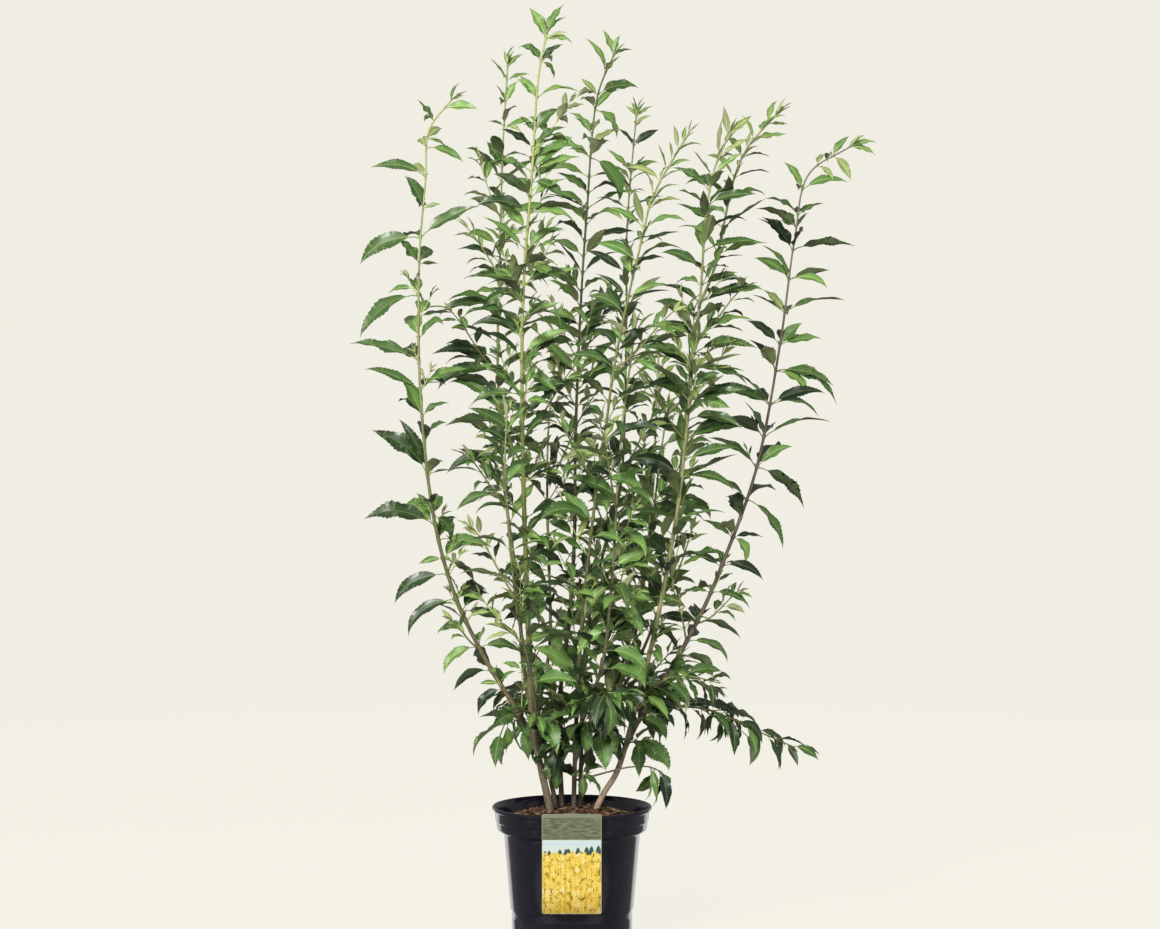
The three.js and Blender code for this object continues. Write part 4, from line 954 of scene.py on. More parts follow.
def clothe(name, index):
    """Leaf pairs crosswise up a cane, closer and smaller towards its tip, with side shoots in some axils."""
    rng = np.random.default_rng(SEED + 101 * index)
    P, s, R, T, U, W = paths[name]
    first, gap, size, mid_share, low_share, turn = HABIT[name]
    total = s[-1]
    i0 = int(np.argmax(P[:, 2] >= first))
    at = s[i0]
    inner = 1.0 if name.startswith("inner") or name in ("cane_centre", "cane_back_centre") else 0.0
    k = 0
    ceiling = OUTLINE[name][0][0] * MM - 0.012 if name in OUTLINE else 9.0
    while at < total - 0.004:
        i = int(np.searchsorted(s, at))
        i = min(i, len(s) - 1)
        left = total - at
        p = P[i]
        z = p[2]
        if z > ceiling:
            clothe_outline(name, index)
            return
        taper = np.clip(left / 0.26, 0, 1)
        L = size * MM * (0.50 + 0.50 * taper ** 0.75)
        if z < 0.75:
            L *= 0.86 + 0.14 * (z - 0.4) / 0.35
        nodes_on[name].append(i)
        tone = pick(rng, palette(z, p[0], inner))
        if left < 0.13:
            tone = pick(rng, {"young": 1.2, "light": 2.6, "bright": 2.2, "fresh": 1.2, "middle": 0.8})
        elif left < 0.24 and rng.random() < 0.5:
            tone = pick(rng, {"light": 0.7, "bright": 2, "fresh": 2, "middle": 1})
        for side in (0, 1):
            a = turn + k * math.pi / 2 + side * math.pi + rng.normal(0, 0.32)
            side_dir = across(T[i], a)
            lean = rng.uniform(0.66, 1.30) - 0.42 * (1 - taper)
            v = unit(math.cos(lean) * T[i] + math.sin(lean) * side_dir)
            r0 = math.asin(np.clip(v[2], -0.97, 0.97))
            # some leaves stay nearly straight, the others arch over
            drop = (rng.uniform(0.10, 0.65) if rng.random() < 0.45 else rng.uniform(0.75, 1.60)) * (0.60 + 0.40 * taper)
            if z < 0.8:
                drop += rng.uniform(0, 0.45)
            lone = tone if rng.random() < 0.8 else pick(rng, palette(z, p[0], inner))
            if left < 0.13:
                lone = tone
            if tone in ("light", "young") and left > 0.05:
                WW_share = 0.80
            else:
                WW_share = 1.0
            LL = L * rng.uniform(0.68, 1.20) * (1.06 if abs(side_dir[0]) > 0.7 else 0.92)
            WW = LL * rng.uniform(0.25, 0.34) * (1.12 - 0.12 * taper) * WW_share
            if z < 0.56:
                WW *= 1.20
            elif z < 0.84:
                WW *= 0.94
            else:
                WW *= 0.77
                LL *= 1.03
            if z > 1.10:
                LL, WW = min(LL, 0.088), min(WW, 0.0225)
            if LL > 0.072 and lone in ("light", "young"):
                lone = "bright"
            if lone == "deep" and LL > 0.080:
                lone = "shade" if side else "middle"
            if LL > 0.093:
                LL, WW = 0.093, WW * 0.093 / LL
            if left < 0.16 and LL > 0.058:
                LL, WW = 0.058, WW * 0.058 / LL
            if name == "cane_back_left" and 1.15 < z < 1.32 and side_dir[0] < -0.3:
                LL, WW = LL * 0.8, WW * 0.9
            if name in ("cane_front_centre", "cane_back_centre") and z > 1.20:
                LL, WW = LL * 0.85, WW * 0.85
            if name in ("cane_front_centre", "cane_back_centre") and z > 1.0:
                LL, WW = LL * 0.88, WW * 0.72
            if rng.random() < gap_share(name, z, side_dir):
                continue
            if rng.random() > 0.035:
                add_leaf(rng, p + side_dir * R[i] * 0.7, math.atan2(v[1], v[0]), LL, WW, r0, r0 - drop, lone,
                         fold=rng.uniform(0.30, 0.80) + 0.15 * (1 - taper), stalk_tone=0 if left > 0.25 else 1)
            share = mid_share if z > 0.80 else low_share * (0.5 + 0.5 * (z - 0.35) / 0.45)
            if z > 1.05:
                share *= max(0.15, 1 - (z - 1.05) / 0.30) * 0.75
            if left > 0.25 and rng.random() < share:
                long = rng.random() < (0.5 if z < 0.8 else 0.25)
                SL = rng.uniform(0.07, 0.125) if long else rng.uniform(0.022, 0.06)
                pairs = int(rng.integers(3, 5)) if long else int(rng.integers(1, 3))
                up = 0.75 if not long else 0.62
                vv = unit(math.cos(up) * T[i] + math.sin(up) * side_dir)
                st = pick(rng, {"light": 0.9, "bright": 2.0, "fresh": 2.4, "middle": 2.2, "young": 0.3, "shade": 1.4})
                nxt = {"light": "young", "bright": "light", "fresh": "bright", "middle": "fresh", "young": "young", "shade": "middle"}[st]
                grow_shoot(rng, p + side_dir * R[i] * 0.6, math.atan2(vv[1], vv[0]), math.asin(vv[2]), SL, pairs,
                           rng.uniform(0.046, 0.070), (st, st, nxt), start_roll=rng.uniform(0, 3.1))
        step = gap * MM * rng.uniform(0.86, 1.14) * (0.82 if 0.92 < z < 1.36 else 1.0) * (0.48 + 0.52 * np.clip(left / 0.20, 0, 1))
        at += max(step, 0.009)
        k += 1
    # the closed leaf pair at the very tip
    for side in (0, 1):
        a = turn + k * math.pi / 2 + side * math.pi
        side_dir = unit(math.cos(a) * U[-1] + math.sin(a) * W[-1])
        v = unit(0.95 * T[-1] + 0.30 * side_dir)
        r0 = math.asin(np.clip(v[2], -0.97, 0.97))
        LL = rng.uniform(0.022, 0.030)
        add_leaf(rng, P[-1] - T[-1] * 0.002, math.atan2(v[1], v[0]), LL, LL * 0.24, r0, r0 - 0.12, "young", fold=0.7, petiole=0.002, stalk_tone=1)


def clothe_low(name, index):
    """A low branch: narrow, drooping leaves in pairs, close together."""
    rng = np.random.default_rng(SEED + 977 * index)
    P, s, R, T, U, W = paths[name]
    start, gap, size, share, w0, w1, sag = LOW[name]
    total = s[-1]
    at = total * start
    k = 0
    while at < total:
        i = min(int(np.searchsorted(s, at)), len(s) - 1)
        p, left = P[i], total - at
        nodes_on[name].append(i)
        tone = pick(rng, {"deep": 1.6, "shade": 2.4, "middle": 2.4, "fresh": 1.2, "bright": 0.4})
        for side in (0, 1):
            a = 0.5 + k * math.pi / 2 + side * math.pi + rng.normal(0, 0.2)
            side_dir = unit(math.cos(a) * U[i] + math.sin(a) * W[i])
            lean = rng.uniform(0.7, 1.05)
            v = unit(math.cos(lean) * T[i] + math.sin(lean) * side_dir)
            r0 = math.asin(np.clip(v[2], -0.9, 0.9))
            LL = size * MM * rng.uniform(0.8, 1.15) * (1.0 if name == "low_branch_base" else 0.82 + 0.18 * np.clip(left / 0.08, 0, 1) if name == "low_branch_right_lower" else 0.62 + 0.38 * np.clip(left / 0.08, 0, 1))
            hang = sag if sag > 0.9 else sag * (0.3 + 0.7 * at / total) if at < 0.8 * total else sag * 0.5
            add_leaf(rng, p + side_dir * R[i] * 0.7, math.atan2(v[1], v[0]), LL, LL * rng.uniform(w0, w1), min(r0, 0.7) - hang,
                     min(r0, 0.5) - hang - rng.uniform(0.5, 1.3), tone, stalk_tone=0)
            if rng.random() < share and left > (0.12 if name == "low_branch_right_lower" else 0.03):
                vv = unit(0.7 * T[i] + 0.7 * side_dir)
                grow_shoot(rng, p + side_dir * R[i] * 0.5, math.atan2(vv[1], vv[0]), math.asin(vv[2]) * 0.5, rng.uniform(0.04, 0.09), int(rng.integers(2, 4)),
                           rng.uniform(0.050, 0.066), ("middle", "shade", "fresh"), droop=0.6, wide=(w0, w1))
        at += gap * MM * rng.uniform(0.85, 1.2)
        k += 1
    if name == "low_branch_right_lower":
        # the last pair reaches on along the branch
        ahead, fall = math.atan2(T[-1][1], T[-1][0]), math.asin(np.clip(T[-1][2], -0.9, 0.9))
        for side in (-1, 1):
            add_leaf(rng, P[-1] - T[-1] * 0.003, ahead + side * rng.uniform(0.15, 0.45), 0.046, 0.046 * rng.uniform(w0, w1), fall + 0.30, fall - 0.45, "middle", stalk_tone=0)


for _i, _n in enumerate(HABIT):
    clothe(_n, _i + 1)
for _i, _n in enumerate(REACH):
    reach_out(_n, _i + 1)

# leafy side branches in the full middle and foot of the crown: limb, how many, height range, length range
LATERALS = {
    "cane_front_left": (3, 0.72, 1.16, 0.11, 0.17), "cane_back_left": (3, 0.74, 1.14, 0.11, 0.17), "cane_centre": (3, 0.55, 1.16, 0.11, 0.17),
    "cane_front_centre": (3, 0.60, 1.08, 0.11, 0.18), "cane_back_centre": (3, 0.60, 1.10, 0.11, 0.18), "cane_right": (3, 0.60, 1.10, 0.10, 0.16),
    "inner_cane_right": (2, 0.40, 0.90, 0.12, 0.20), "inner_cane_front": (2, 0.40, 0.90, 0.12, 0.20), "inner_cane_back": (2, 0.40, 0.90, 0.12, 0.20),
    "inner_cane_front_left": (2, 0.55, 0.85, 0.10, 0.15), "inner_cane_back_right": (2, 0.40, 0.85, 0.12, 0.20), "inner_cane_middle": (3, 0.40, 0.80, 0.12, 0.18),
    "cane_left": (1, 0.44, 0.52, 0.07, 0.10), "cane_far_right": (2, 0.48, 0.62, 0.08, 0.12),
}


def branch_out(name, index):
    rng = np.random.default_rng(SEED + 5153 * index)
    P, s, R, T, U, W = paths[name]
    n, z0, z1, l0, l1 = LATERALS[name]
    turn = rng.uniform(0, 6.28)
    for k in range(n):
        z = z0 + (z1 - z0) * (k + rng.uniform(0.2, 0.8)) / n
        spots = [i for i in nodes_on[name] if abs(P[i][2] - z) < 0.05] or [int(np.argmin(abs(P[:, 2] - z)))]
        i = spots[int(rng.integers(len(spots)))]
        a = turn + k * 2.4 + rng.normal(0, 0.3)
        side_dir = unit(math.cos(a) * U[i] + math.sin(a) * W[i])
        v = unit(0.62 * T[i] + 0.78 * side_dir)
        grow_lateral(rng, P[i] + side_dir * R[i] * 0.5, math.atan2(v[1], v[0]), math.asin(v[2]), rng.uniform(l0, l1), rng.uniform(0.066, 0.080), 1.0)


for _i, _n in enumerate(LATERALS):
    branch_out(_n, _i + 1)
for _i, _n in enumerate(LOW):
    clothe_low(_n, _i + 1)

# drooping leafy sprays on the lowest stretch of the canes: limb, height, heading, length, leaf length
FOOT_SPRAYS = [
    ("cane_front_centre", 0.345, -2.3, 0.045, 0.084), ("cane_front_centre", 0.385, -1.0, 0.045, 0.086), ("cane_right", 0.350, -1.0, 0.045, 0.082),
    ("cane_right", 0.390, 0.3, 0.050, 0.080), ("cane_back_left", 0.370, -2.2, 0.040, 0.078),
    ("cane_front_left", 0.395, -1.5, 0.045, 0.084), ("cane_centre", 0.345, 1.9, 0.045, 0.076), ("cane_centre", 0.365, -1.5, 0.045, 0.080),
    ("cane_back_centre", 0.330, 1.2, 0.045, 0.074), ("cane_back_centre", 0.360, 0.0, 0.045, 0.080), ("cane_front_centre", 0.292, -0.7, 0.026, 0.050),
    ("cane_centre", 0.298, -1.9, 0.026, 0.052), ("cane_front_left", 0.325, -1.0, 0.028, 0.058), ("inner_cane_middle", 0.365, -0.9, 0.045, 0.082),
]


def foot_spray(n, limb, z, out, length, size):
    rng = np.random.default_rng(SEED + 7919 * (n + 1))
    P, s, R, T, U, W = paths[limb]
    i = int(np.argmin(np.abs(P[:, 2] - z)))
    side_dir = np.array([math.cos(out), math.sin(out), 0.0])
    tones = [("deep", "shade", "middle"), ("shade", "middle", "fresh"), ("middle", "shade", "fresh")][n % 3]
    grow_shoot(rng, P[i] + side_dir * R[i] * 0.6, out, 0.45, length, 3, size, tones, droop=1.0, thick=0.0013, wide=(0.36, 0.48))


for _i, _row in enumerate(FOOT_SPRAYS):
    foot_spray(_i, *_row)

# leafy side shoots seen by themselves: limb, height, heading, rise, length, pairs, leaf length, tones
LONE_SHOOTS = [
    ("cane_front_left", 1.372, 0.10, 0.80, 0.100, 3, 0.062, ("bright", "light", "fresh")), ("cane_front_left", 1.300, 0.35, 0.70, 0.060, 2, 0.056, ("fresh", "bright", "light")),
    ("cane_front_left", 0.842, 3.05, 0.45, 0.075, 3, 0.064, ("bright", "light", "bright")), ("cane_front_left", 0.806, 0.10, 0.35, 0.050, 2, 0.062, ("bright", "bright", "light")),
    ("cane_right", 0.930, 0.15, 0.75, 0.060, 2, 0.060, ("fresh", "middle", "bright")), ("cane_right", 1.060, 3.00, 0.70, 0.055, 2, 0.056, ("bright", "fresh", "light")),
    ("inner_cane_front", 0.650, 0.20, 0.30, 0.060, 3, 0.070, ("bright", "fresh", "bright")), ("inner_cane_front", 0.610, -0.90, 0.10, 0.055, 3, 0.070, ("bright", "bright", "fresh")),
]
for _i, (_l, _z, _h, _r, _n, _k, _s, _t) in enumerate(LONE_SHOOTS):
    _P, _, _R = paths[_l][:3]
    _j = int(np.argmin(np.abs(_P[:, 2] - _z)))
    grow_shoot(np.random.default_rng(SEED + 5279 * (_i + 1)), _P[_j] + np.array([math.cos(_h), math.sin(_h), 0.0]) * _R[_j] * 0.6, _h, _r, _n, _k, _s, _t, wide=(0.30, 0.40))

# ------------------------------------------------------------------ stems
BARK = {
    # foot, middle and tip tone, and the heights in metres where they rule; the dark browns at the foot of the back and
    # centre canes are partly their bark and partly painted shade inside the crown
    "cane_front_left": ("#73655a", "#6f763f", "#a4ae6b", 0.24, 0.60, 1.30),
    "cane_back_left": ("#5e5145", "#616d3f", "#97a363", 0.24, 0.70, 1.45),
    "cane_centre": ("#4e4339", "#454430", "#727e4f", 0.24, 0.80, 1.45),
    "cane_front_centre": ("#62554a", "#60643e", "#8e995c", 0.24, 0.66, 1.32),
    "cane_back_centre": ("#4c4338", "#575f3c", "#8a955f", 0.24, 0.80, 1.40),
    "cane_right": ("#a5917d", "#a2a272", "#a9ae80", 0.24, 0.60, 1.30),
    "cane_left": ("#6e5f4b", "#666c44", "#a2ac72", 0.36, 0.70, 1.40),
    "cane_far_right": ("#6f5f54", "#655c54", "#827e69", 0.33, 0.78, 1.40),
    "cane_back_right": ("#8d9060", "#8f9468", "#9aa270", 1.10, 1.22, 1.40),
}
# the inner canes' bark, dark brown at the foot: partly its own colour, partly painted shade inside the crown
INNER_BARK_AND_SHADE = ("#4f453b", "#65654b", "#98a26c", 0.24, 0.62, 1.05)
LOW_BARK = ("#6e6048", "#6c6f45", "#7f8a52", 0.28, 0.40, 0.52)


def blurred(a, k):
    """a smoothed by kernel k, at its own length."""
    h = len(k) // 2
    return np.convolve(a, k, mode="full")[h:h + len(a)]


def bark_relief(rng, P, s, R, sides, rough):
    """Height of the bark over the plain tube, ring by ring: long shallow ridges, fissures in the old wood, and slow
    random swells along the stem.
    """
    n = len(P)
    raw = rng.normal(size=(n, sides))
    k = np.exp(-0.5 * (np.arange(-14, 15) / 5.0) ** 2)
    k /= k.sum()
    streak = np.stack([blurred(raw[:, j], k) for j in range(sides)], 1)
    streak = (streak + 0.5 * np.roll(streak, 1, 1) + 0.5 * np.roll(streak, -1, 1))
    streak /= max(streak.std(), 1e-9)
    k2 = np.exp(-0.5 * (np.arange(-40, 41) / 18.0) ** 2)
    k2 /= k2.sum()
    lumps = blurred(rng.normal(size=n), k2)
    lumps /= max(lumps.std(), 1e-9)
    old = np.clip(1.15 - (P[:, 2] - 0.23) / 0.55, 0.18, 1)[:, None] * rough
    fissure = -np.clip(streak - 0.9, 0, 2.5)
    return (0.020 * streak + 0.045 * fissure) * R[:, None] * old + 0.018 * (lumps * R)[:, None]


def make_limb(name, index):
    rng = np.random.default_rng(SEED + 3391 * index)
    foot, tip, parent, _ = LIMBS[name]
    P, s, R, T, U, W = paths[name]
    R = R.copy()
    low = name in LOW
    for i in nodes_on[name]:
        d = (s - s[i]) / 0.0030
        R += R[i] * 0.20 * np.exp(-d * d)
        ring = (s - (s[i] - 0.0008)) / 0.0010
        R += R[i] * 0.06 * np.exp(-ring * ring)
    sides = 14 if foot > 5 else 12 if foot > 3.6 else 8
    # every second ring is enough in the smooth upper part
    keep = np.zeros(len(P), bool)
    keep[::4] = True
    keep[(P[:, 2] < 0.60) & (np.arange(len(P)) % 2 == 0)] = True
    keep[[0, -1]] = True
    for i in nodes_on[name]:
        keep[max(0, i - 2):i + 3:2] = True
        keep[i] = True
    relief = bark_relief(rng, P, s, R, sides, 1.0 if not low else 0.5)
    idx = np.where(keep)[0]
    B = Builder()
    tube(B, P[idx], R[idx], sides, 0, relief[idx], frames=(T[idx], U[idx], W[idx]))
    u = np.tile(np.arange(sides) / sides, len(idx))
    v = np.repeat(s[idx] / s[-1], sides)
    # raised corky pores, denser on the old wood
    pores = int(s[-1] * (90 if foot > 3.6 else 40))
    for _ in range(pores):
        q = rng.random() ** 1.35
        i = int(np.clip(q * (len(P) - 1), 2, len(P) - 3))
        a = rng.uniform(0, 6.283)
        nrm = math.cos(a) * U[i] + math.sin(a) * W[i]
        side = np.cross(T[i], nrm)
        c = P[i] + nrm * R[i] * 0.985
        h, w, l = rng.uniform(0.00025, 0.0005), rng.uniform(0.0004, 0.0007), rng.uniform(0.0006, 0.0013)
        ring = [c + T[i] * l * math.cos(b) + side * w * math.sin(b) for b in np.arange(6) / 6 * 2 * math.pi]
        B.put(np.array(ring + [c + nrm * h, c - nrm * h]), [(j, (j + 1) % 6, 6) for j in range(6)] + [((j + 1) % 6, j, 7) for j in range(6)], 1)
        u = np.concatenate([u, np.full(8, a / 6.283)])
        v = np.concatenate([v, np.full(8, s[i] / s[-1])])
    # buds in the leaf axils
    for k, i in enumerate(nodes_on[name]):
        if low and rng.random() < 0.5:
            continue
        for side in (0, 1):
            a = (HABIT[name][5] if name in HABIT else 0.5) + k * math.pi / 2 + side * math.pi + rng.normal(0, 0.1)
            nrm = math.cos(a) * U[i] + math.sin(a) * W[i]
            ax = unit(0.86 * T[i] + 0.52 * nrm)
            i2 = min(len(P) - 1, i + 2)
            c = P[i2] + nrm * R[i] * 0.75
            L = rng.uniform(0.0026, 0.0042) * (0.65 + 0.35 * min(1, (s[-1] - s[i]) / 0.3))
            e1 = unit(np.cross(ax, nrm))
            e2 = np.cross(ax, e1)
            prof = [(0.0, 0.55), (0.28, 1.0), (0.62, 0.8), (0.88, 0.34)]
            pts = [c + ax * L * f + (math.cos(b) * e1 + math.sin(b) * e2) * L * 0.30 * r for f, r in prof for b in np.arange(6) / 6 * 2 * math.pi]
            pts.append(c + ax * L)
            faces = [(m * 6 + j, m * 6 + (j + 1) % 6, (m + 1) * 6 + (j + 1) % 6, (m + 1) * 6 + j) for m in range(3) for j in range(6)]
            faces += [(18 + j, 18 + (j + 1) % 6, 24) for j in range(6)] + [tuple(range(5, -1, -1))]
            B.put(np.array(pts), faces, 2)
            u = np.concatenate([u, np.full(25, (a / 6.283) % 1)])
            v = np.concatenate([v, np.full(25, s[i] / s[-1])])
    tones = BARK.get(name, LOW_BARK if low else INNER_BARK_AND_SHADE)
    mats = [bark_material("bark_" + name, *tones[:3], tones[3], tones[4], tones[5], dark=0.42 if not low else 0.3), PORE, BUD]
    return B.make("stem_" + name, mats, slot="stems", replaces=(name,), uv=np.stack([u, v], 1))


PORE = plain_leaf("bark_pore", "#b5a587", 0.8, 0.2)
BUD = plain_leaf("axil_bud", "#6b5a3a", 0.55, 0.4)
for _i, _n in enumerate(LIMBS):
    make_limb(_n, _i + 1)

# ------------------------------------------------------------------ twigs and leaves as pieces
TWIG = [plain_leaf("stalk_green", "#7d9150", 0.5, 0.4), plain_leaf("stalk_young", "#a5b968", 0.5, 0.4), plain_leaf("twig_olive", "#76784a", 0.6, 0.35)]
for region, B in twig_builders.items():
    B.make("twigs_" + region, TWIG, slot="stems")
for m, B in leaf_builders.items():
    assert B.n, "no leaves for " + m
    used = sorted(set(B.m))
    B.m = [used.index(k) for k in B.m]
    B.make("leaves_" + m.replace("foliage_", ""), [LEAF_SLOTS[k] for k in used], slot="foliage", replaces=(m,))

# ------------------------------------------------------------------ pot
def rounded(points, radii, steps=4):
    """A profile with its corners rounded."""
    out = []
    n = len(points)
    for i, (p, r) in enumerate(zip(points, radii)):
        p = np.array(p, float)
        if r <= 0 or i in (0, n - 1):
            out.append(p)
            continue
        a, b = np.array(points[i - 1], float) - p, np.array(points[i + 1], float) - p
        la, lb = np.linalg.norm(a), np.linalg.norm(b)
        r = min(r, la * 0.45, lb * 0.45)
        a, b = p + a / la * r, p + b / lb * r
        for q in np.linspace(0, 1, steps + 1):
            out.append((1 - q) ** 2 * a + 2 * q * (1 - q) * p + q * q * b)
    return np.array(out)


POT_SEGMENTS = 168


def foot_line(theta):
    """Height of the scalloped edge where the body steps in to the foot: three arches, cusps at 60 degrees either side of the front."""
    return 49.5 + 18.5 * np.abs(np.cos(1.5 * theta)) ** 0.8


def make_pot():
    outer = rounded([(0, 0), (101.8, 0), (104.8, 3.5), (105.1, 44)], [0, 0.8, 2.4, 0])
    upper = rounded([(116.0, 162), (118.4, 190.5), (119.4, 195.2), (129.6, 198.2), (130.9, 201.5), (131.8, 213.2), (133.4, 214.1), (133.5, 216.0),
                     (134.7, 231.2), (138.2, 232.3), (139.5, 233.8), (139.5, 238.6), (137.9, 240.0), (136.5, 239.6), (132.3, 230.6), (128.9, 213.5),
                     (116.6, 194.5), (105.8, 67), (102.0, 3.0), (0, 3)],
                    [0, 2, 1.5, 1.4, 1.0, 1.0, 0.6, 0.6, 1.0, 0.9, 0.8, 1.0, 0.9, 0.9, 2, 2, 3, 3, 1.5, 0], 3)
    theta = np.arange(POT_SEGMENTS) / POT_SEGMENTS * 2 * math.pi - math.pi / 2
    front = theta + math.pi / 2
    front = (front + math.pi) % (2 * math.pi) - math.pi
    rows = [(np.full(POT_SEGMENTS, r), np.full(POT_SEGMENTS, z)) for r, z in outer]
    line = foot_line(front)
    wall = lambda z: 105.6 + (z - 40) * (118.4 - 105.6) / (190.5 - 40) + 0.0 * z
    for dz, inset in ((-3.0, 3.3), (-0.7, 3.2), (0.2, 2.6), (0.9, 0.5), (1.8, 0.0), (6.0, 0.0)):
        z = line + dz
        rows.append((wall(z) - inset, z))
    for f in (0.35, 0.7):
        z = (line + 6) * (1 - f) + 162 * f
        rows.append((wall(z), z))
    rows += [(np.full(POT_SEGMENTS, r), np.full(POT_SEGMENTS, z)) for r, z in upper]
    V, faces = [], []
    ring = []
    for r, z in rows:
        if r.max() < 1e-6:
            ring.append([len(V)])
            V.append((0, 0, float(z[0])))
        else:
            ring.append(list(range(len(V), len(V) + POT_SEGMENTS)))
            V.extend(np.stack([r * np.cos(theta), r * np.sin(theta), z], 1).tolist())
    for a, b in zip(ring[:-1], ring[1:]):
        for j in range(POT_SEGMENTS):
            k = (j + 1) % POT_SEGMENTS
            if len(a) == 1:
                faces.append((a[0], b[k], b[j]))
            elif len(b) == 1:
                faces.append((a[j], a[k], b[0]))
            else:
                faces.append((a[j], a[k], b[k], b[j]))
    me = bpy.data.meshes.new("nursery_pot")
    me.from_pydata((np.array(V) * MM).tolist(), [], faces)
    ob = bpy.data.objects.new("nursery_pot", me)
    scene.collection.objects.link(ob)
    # drain holes
    bm = bmesh.new()
    for i in range(8):
        a = math.radians((i + 0.5) * 45)
        made = bmesh.ops.create_cone(bm, cap_ends=True, segments=24, radius1=0.006, radius2=0.006, depth=0.02)
        bmesh.ops.translate(bm, verts=made["verts"], vec=(0.082 * math.cos(a), 0.082 * math.sin(a), 0))
    cm = bpy.data.meshes.new("drain")
    bm.to_mesh(cm)
    bm.free()
    cutter = bpy.data.objects.new("drain", cm)
    scene.collection.objects.link(cutter)
    mod = ob.modifiers.new("holes", "BOOLEAN")
    mod.operation, mod.object, mod.solver = "DIFFERENCE", cutter, "EXACT"
    dg = bpy.context.evaluated_depsgraph_get()
    done = bpy.data.meshes.new_from_object(ob.evaluated_get(dg))
    ob.modifiers.clear()
    ob.data = done
    done.name = "nursery_pot"
    bpy.data.objects.remove(cutter)
    done.polygons.foreach_set("use_smooth", np.ones(len(done.polygons), bool))
    done.set_sharp_from_angle(angle=math.radians(46))
    done.materials.clear()
    done.materials.append(pot_material())
    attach(ob, "root")
    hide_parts("pot")
    return ob


def pot_material():
    """Black moulded plastic with a faint violet cast, fine flow streaks, scuffs and a little dust."""
    m, t, p = nodes_of("moulded_black_plastic")
    tc = add(t, "ShaderNodeTexCoord")
    grain = add(t, "ShaderNodeTexNoise", i_Scale=1500.0, i_Detail=2.0)
    t.links.new(tc.outputs["Object"], grain.inputs["Vector"])
    mp = add(t, "ShaderNodeMapping")
    mp.inputs["Scale"].default_value = (60.0, 60.0, 5.0)
    t.links.new(tc.outputs["Object"], mp.inputs["Vector"])
    flow = add(t, "ShaderNodeTexNoise", i_Scale=1.0, i_Detail=4.0, i_Roughness=0.6)
    t.links.new(mp.outputs[0], flow.inputs["Vector"])
    dust = add(t, "ShaderNodeTexNoise", i_Scale=38.0, i_Detail=5.0, i_Roughness=0.62)
    t.links.new(tc.outputs["Object"], dust.inputs["Vector"])
    body = ramp(t, flow.outputs["Fac"], [(0.3, srgb("#0f0c19")), (0.7, srgb("#181323"))])
    mask = ramp(t, dust.outputs["Fac"], [(0.56, (0, 0, 0, 1)), (0.80, (1, 1, 1, 1))])
    col = mixed_colour(t, maths(t, "MULTIPLY", mask.outputs[0], 0.16), body.outputs[0], srgb("#5d564e"))
    t.links.new(col, p.inputs["Base Color"])
    rough = maths(t, "MULTIPLY_ADD", flow.outputs["Fac"], 0.08, 0.05)
    rough = maths(t, "ADD", rough, maths(t, "MULTIPLY", mask.outputs[0], 0.12))
    t.links.new(rough, p.inputs["Roughness"])
    p.inputs["Specular IOR Level"].default_value = 0.48
    bump = add(t, "ShaderNodeBump", i_Strength=0.045, i_Distance=0.0004)
    t.links.new(maths(t, "ADD", grain.outputs["Fac"], flow.outputs["Fac"]), bump.inputs["Height"])
    t.links.new(bump.outputs[0], p.inputs["Normal"])
    return m


make_pot()


# ------------------------------------------------------------------ potting mix
def soil_material():
    m, t, p = nodes_of("potting_mix_crumb")
    tc = add(t, "ShaderNodeTexCoord")
    crumb = add(t, "ShaderNodeTexVoronoi", i_Scale=230.0)
    t.links.new(tc.outputs["Object"], crumb.inputs["Vector"])
    noise = add(t, "ShaderNodeTexNoise", i_Scale=70.0, i_Detail=5.0)
    t.links.new(tc.outputs["Object"], noise.inputs["Vector"])
    sep = add(t, "ShaderNodeSeparateColor")
    t.links.new(crumb.outputs["Color"], sep.inputs[0])
    base = ramp(t, sep.outputs[0], [(0.0, srgb("#2a1d15")), (0.45, srgb("#4a3222")), (0.8, srgb("#6a4a33")), (1.0, srgb("#8d7052"))])
    shade = ramp(t, noise.outputs["Fac"], [(0.35, (0.55, 0.52, 0.5, 1)), (0.65, (1.05, 1.02, 1.0, 1))])
    t.links.new(mixed_colour(t, 1.0, base.outputs[0], shade.outputs[0], "MULTIPLY"), p.inputs["Base Color"])
    p.inputs["Roughness"].default_value = 0.92
    p.inputs["Specular IOR Level"].default_value = 0.2
    bump = add(t, "ShaderNodeBump", i_Strength=0.8, i_Distance=0.0015)
    t.links.new(crumb.outputs["Distance"], bump.inputs["Height"])
    t.links.new(bump.outputs[0], p.inputs["Normal"])
    return m


def mound(r):
    """Height of the mix over the middle of the pot, in millimetres."""
    return np.interp(r, [0, 63, 90, 112, 128], [232.0, 231.5, 221.5, 219.0, 217.0])


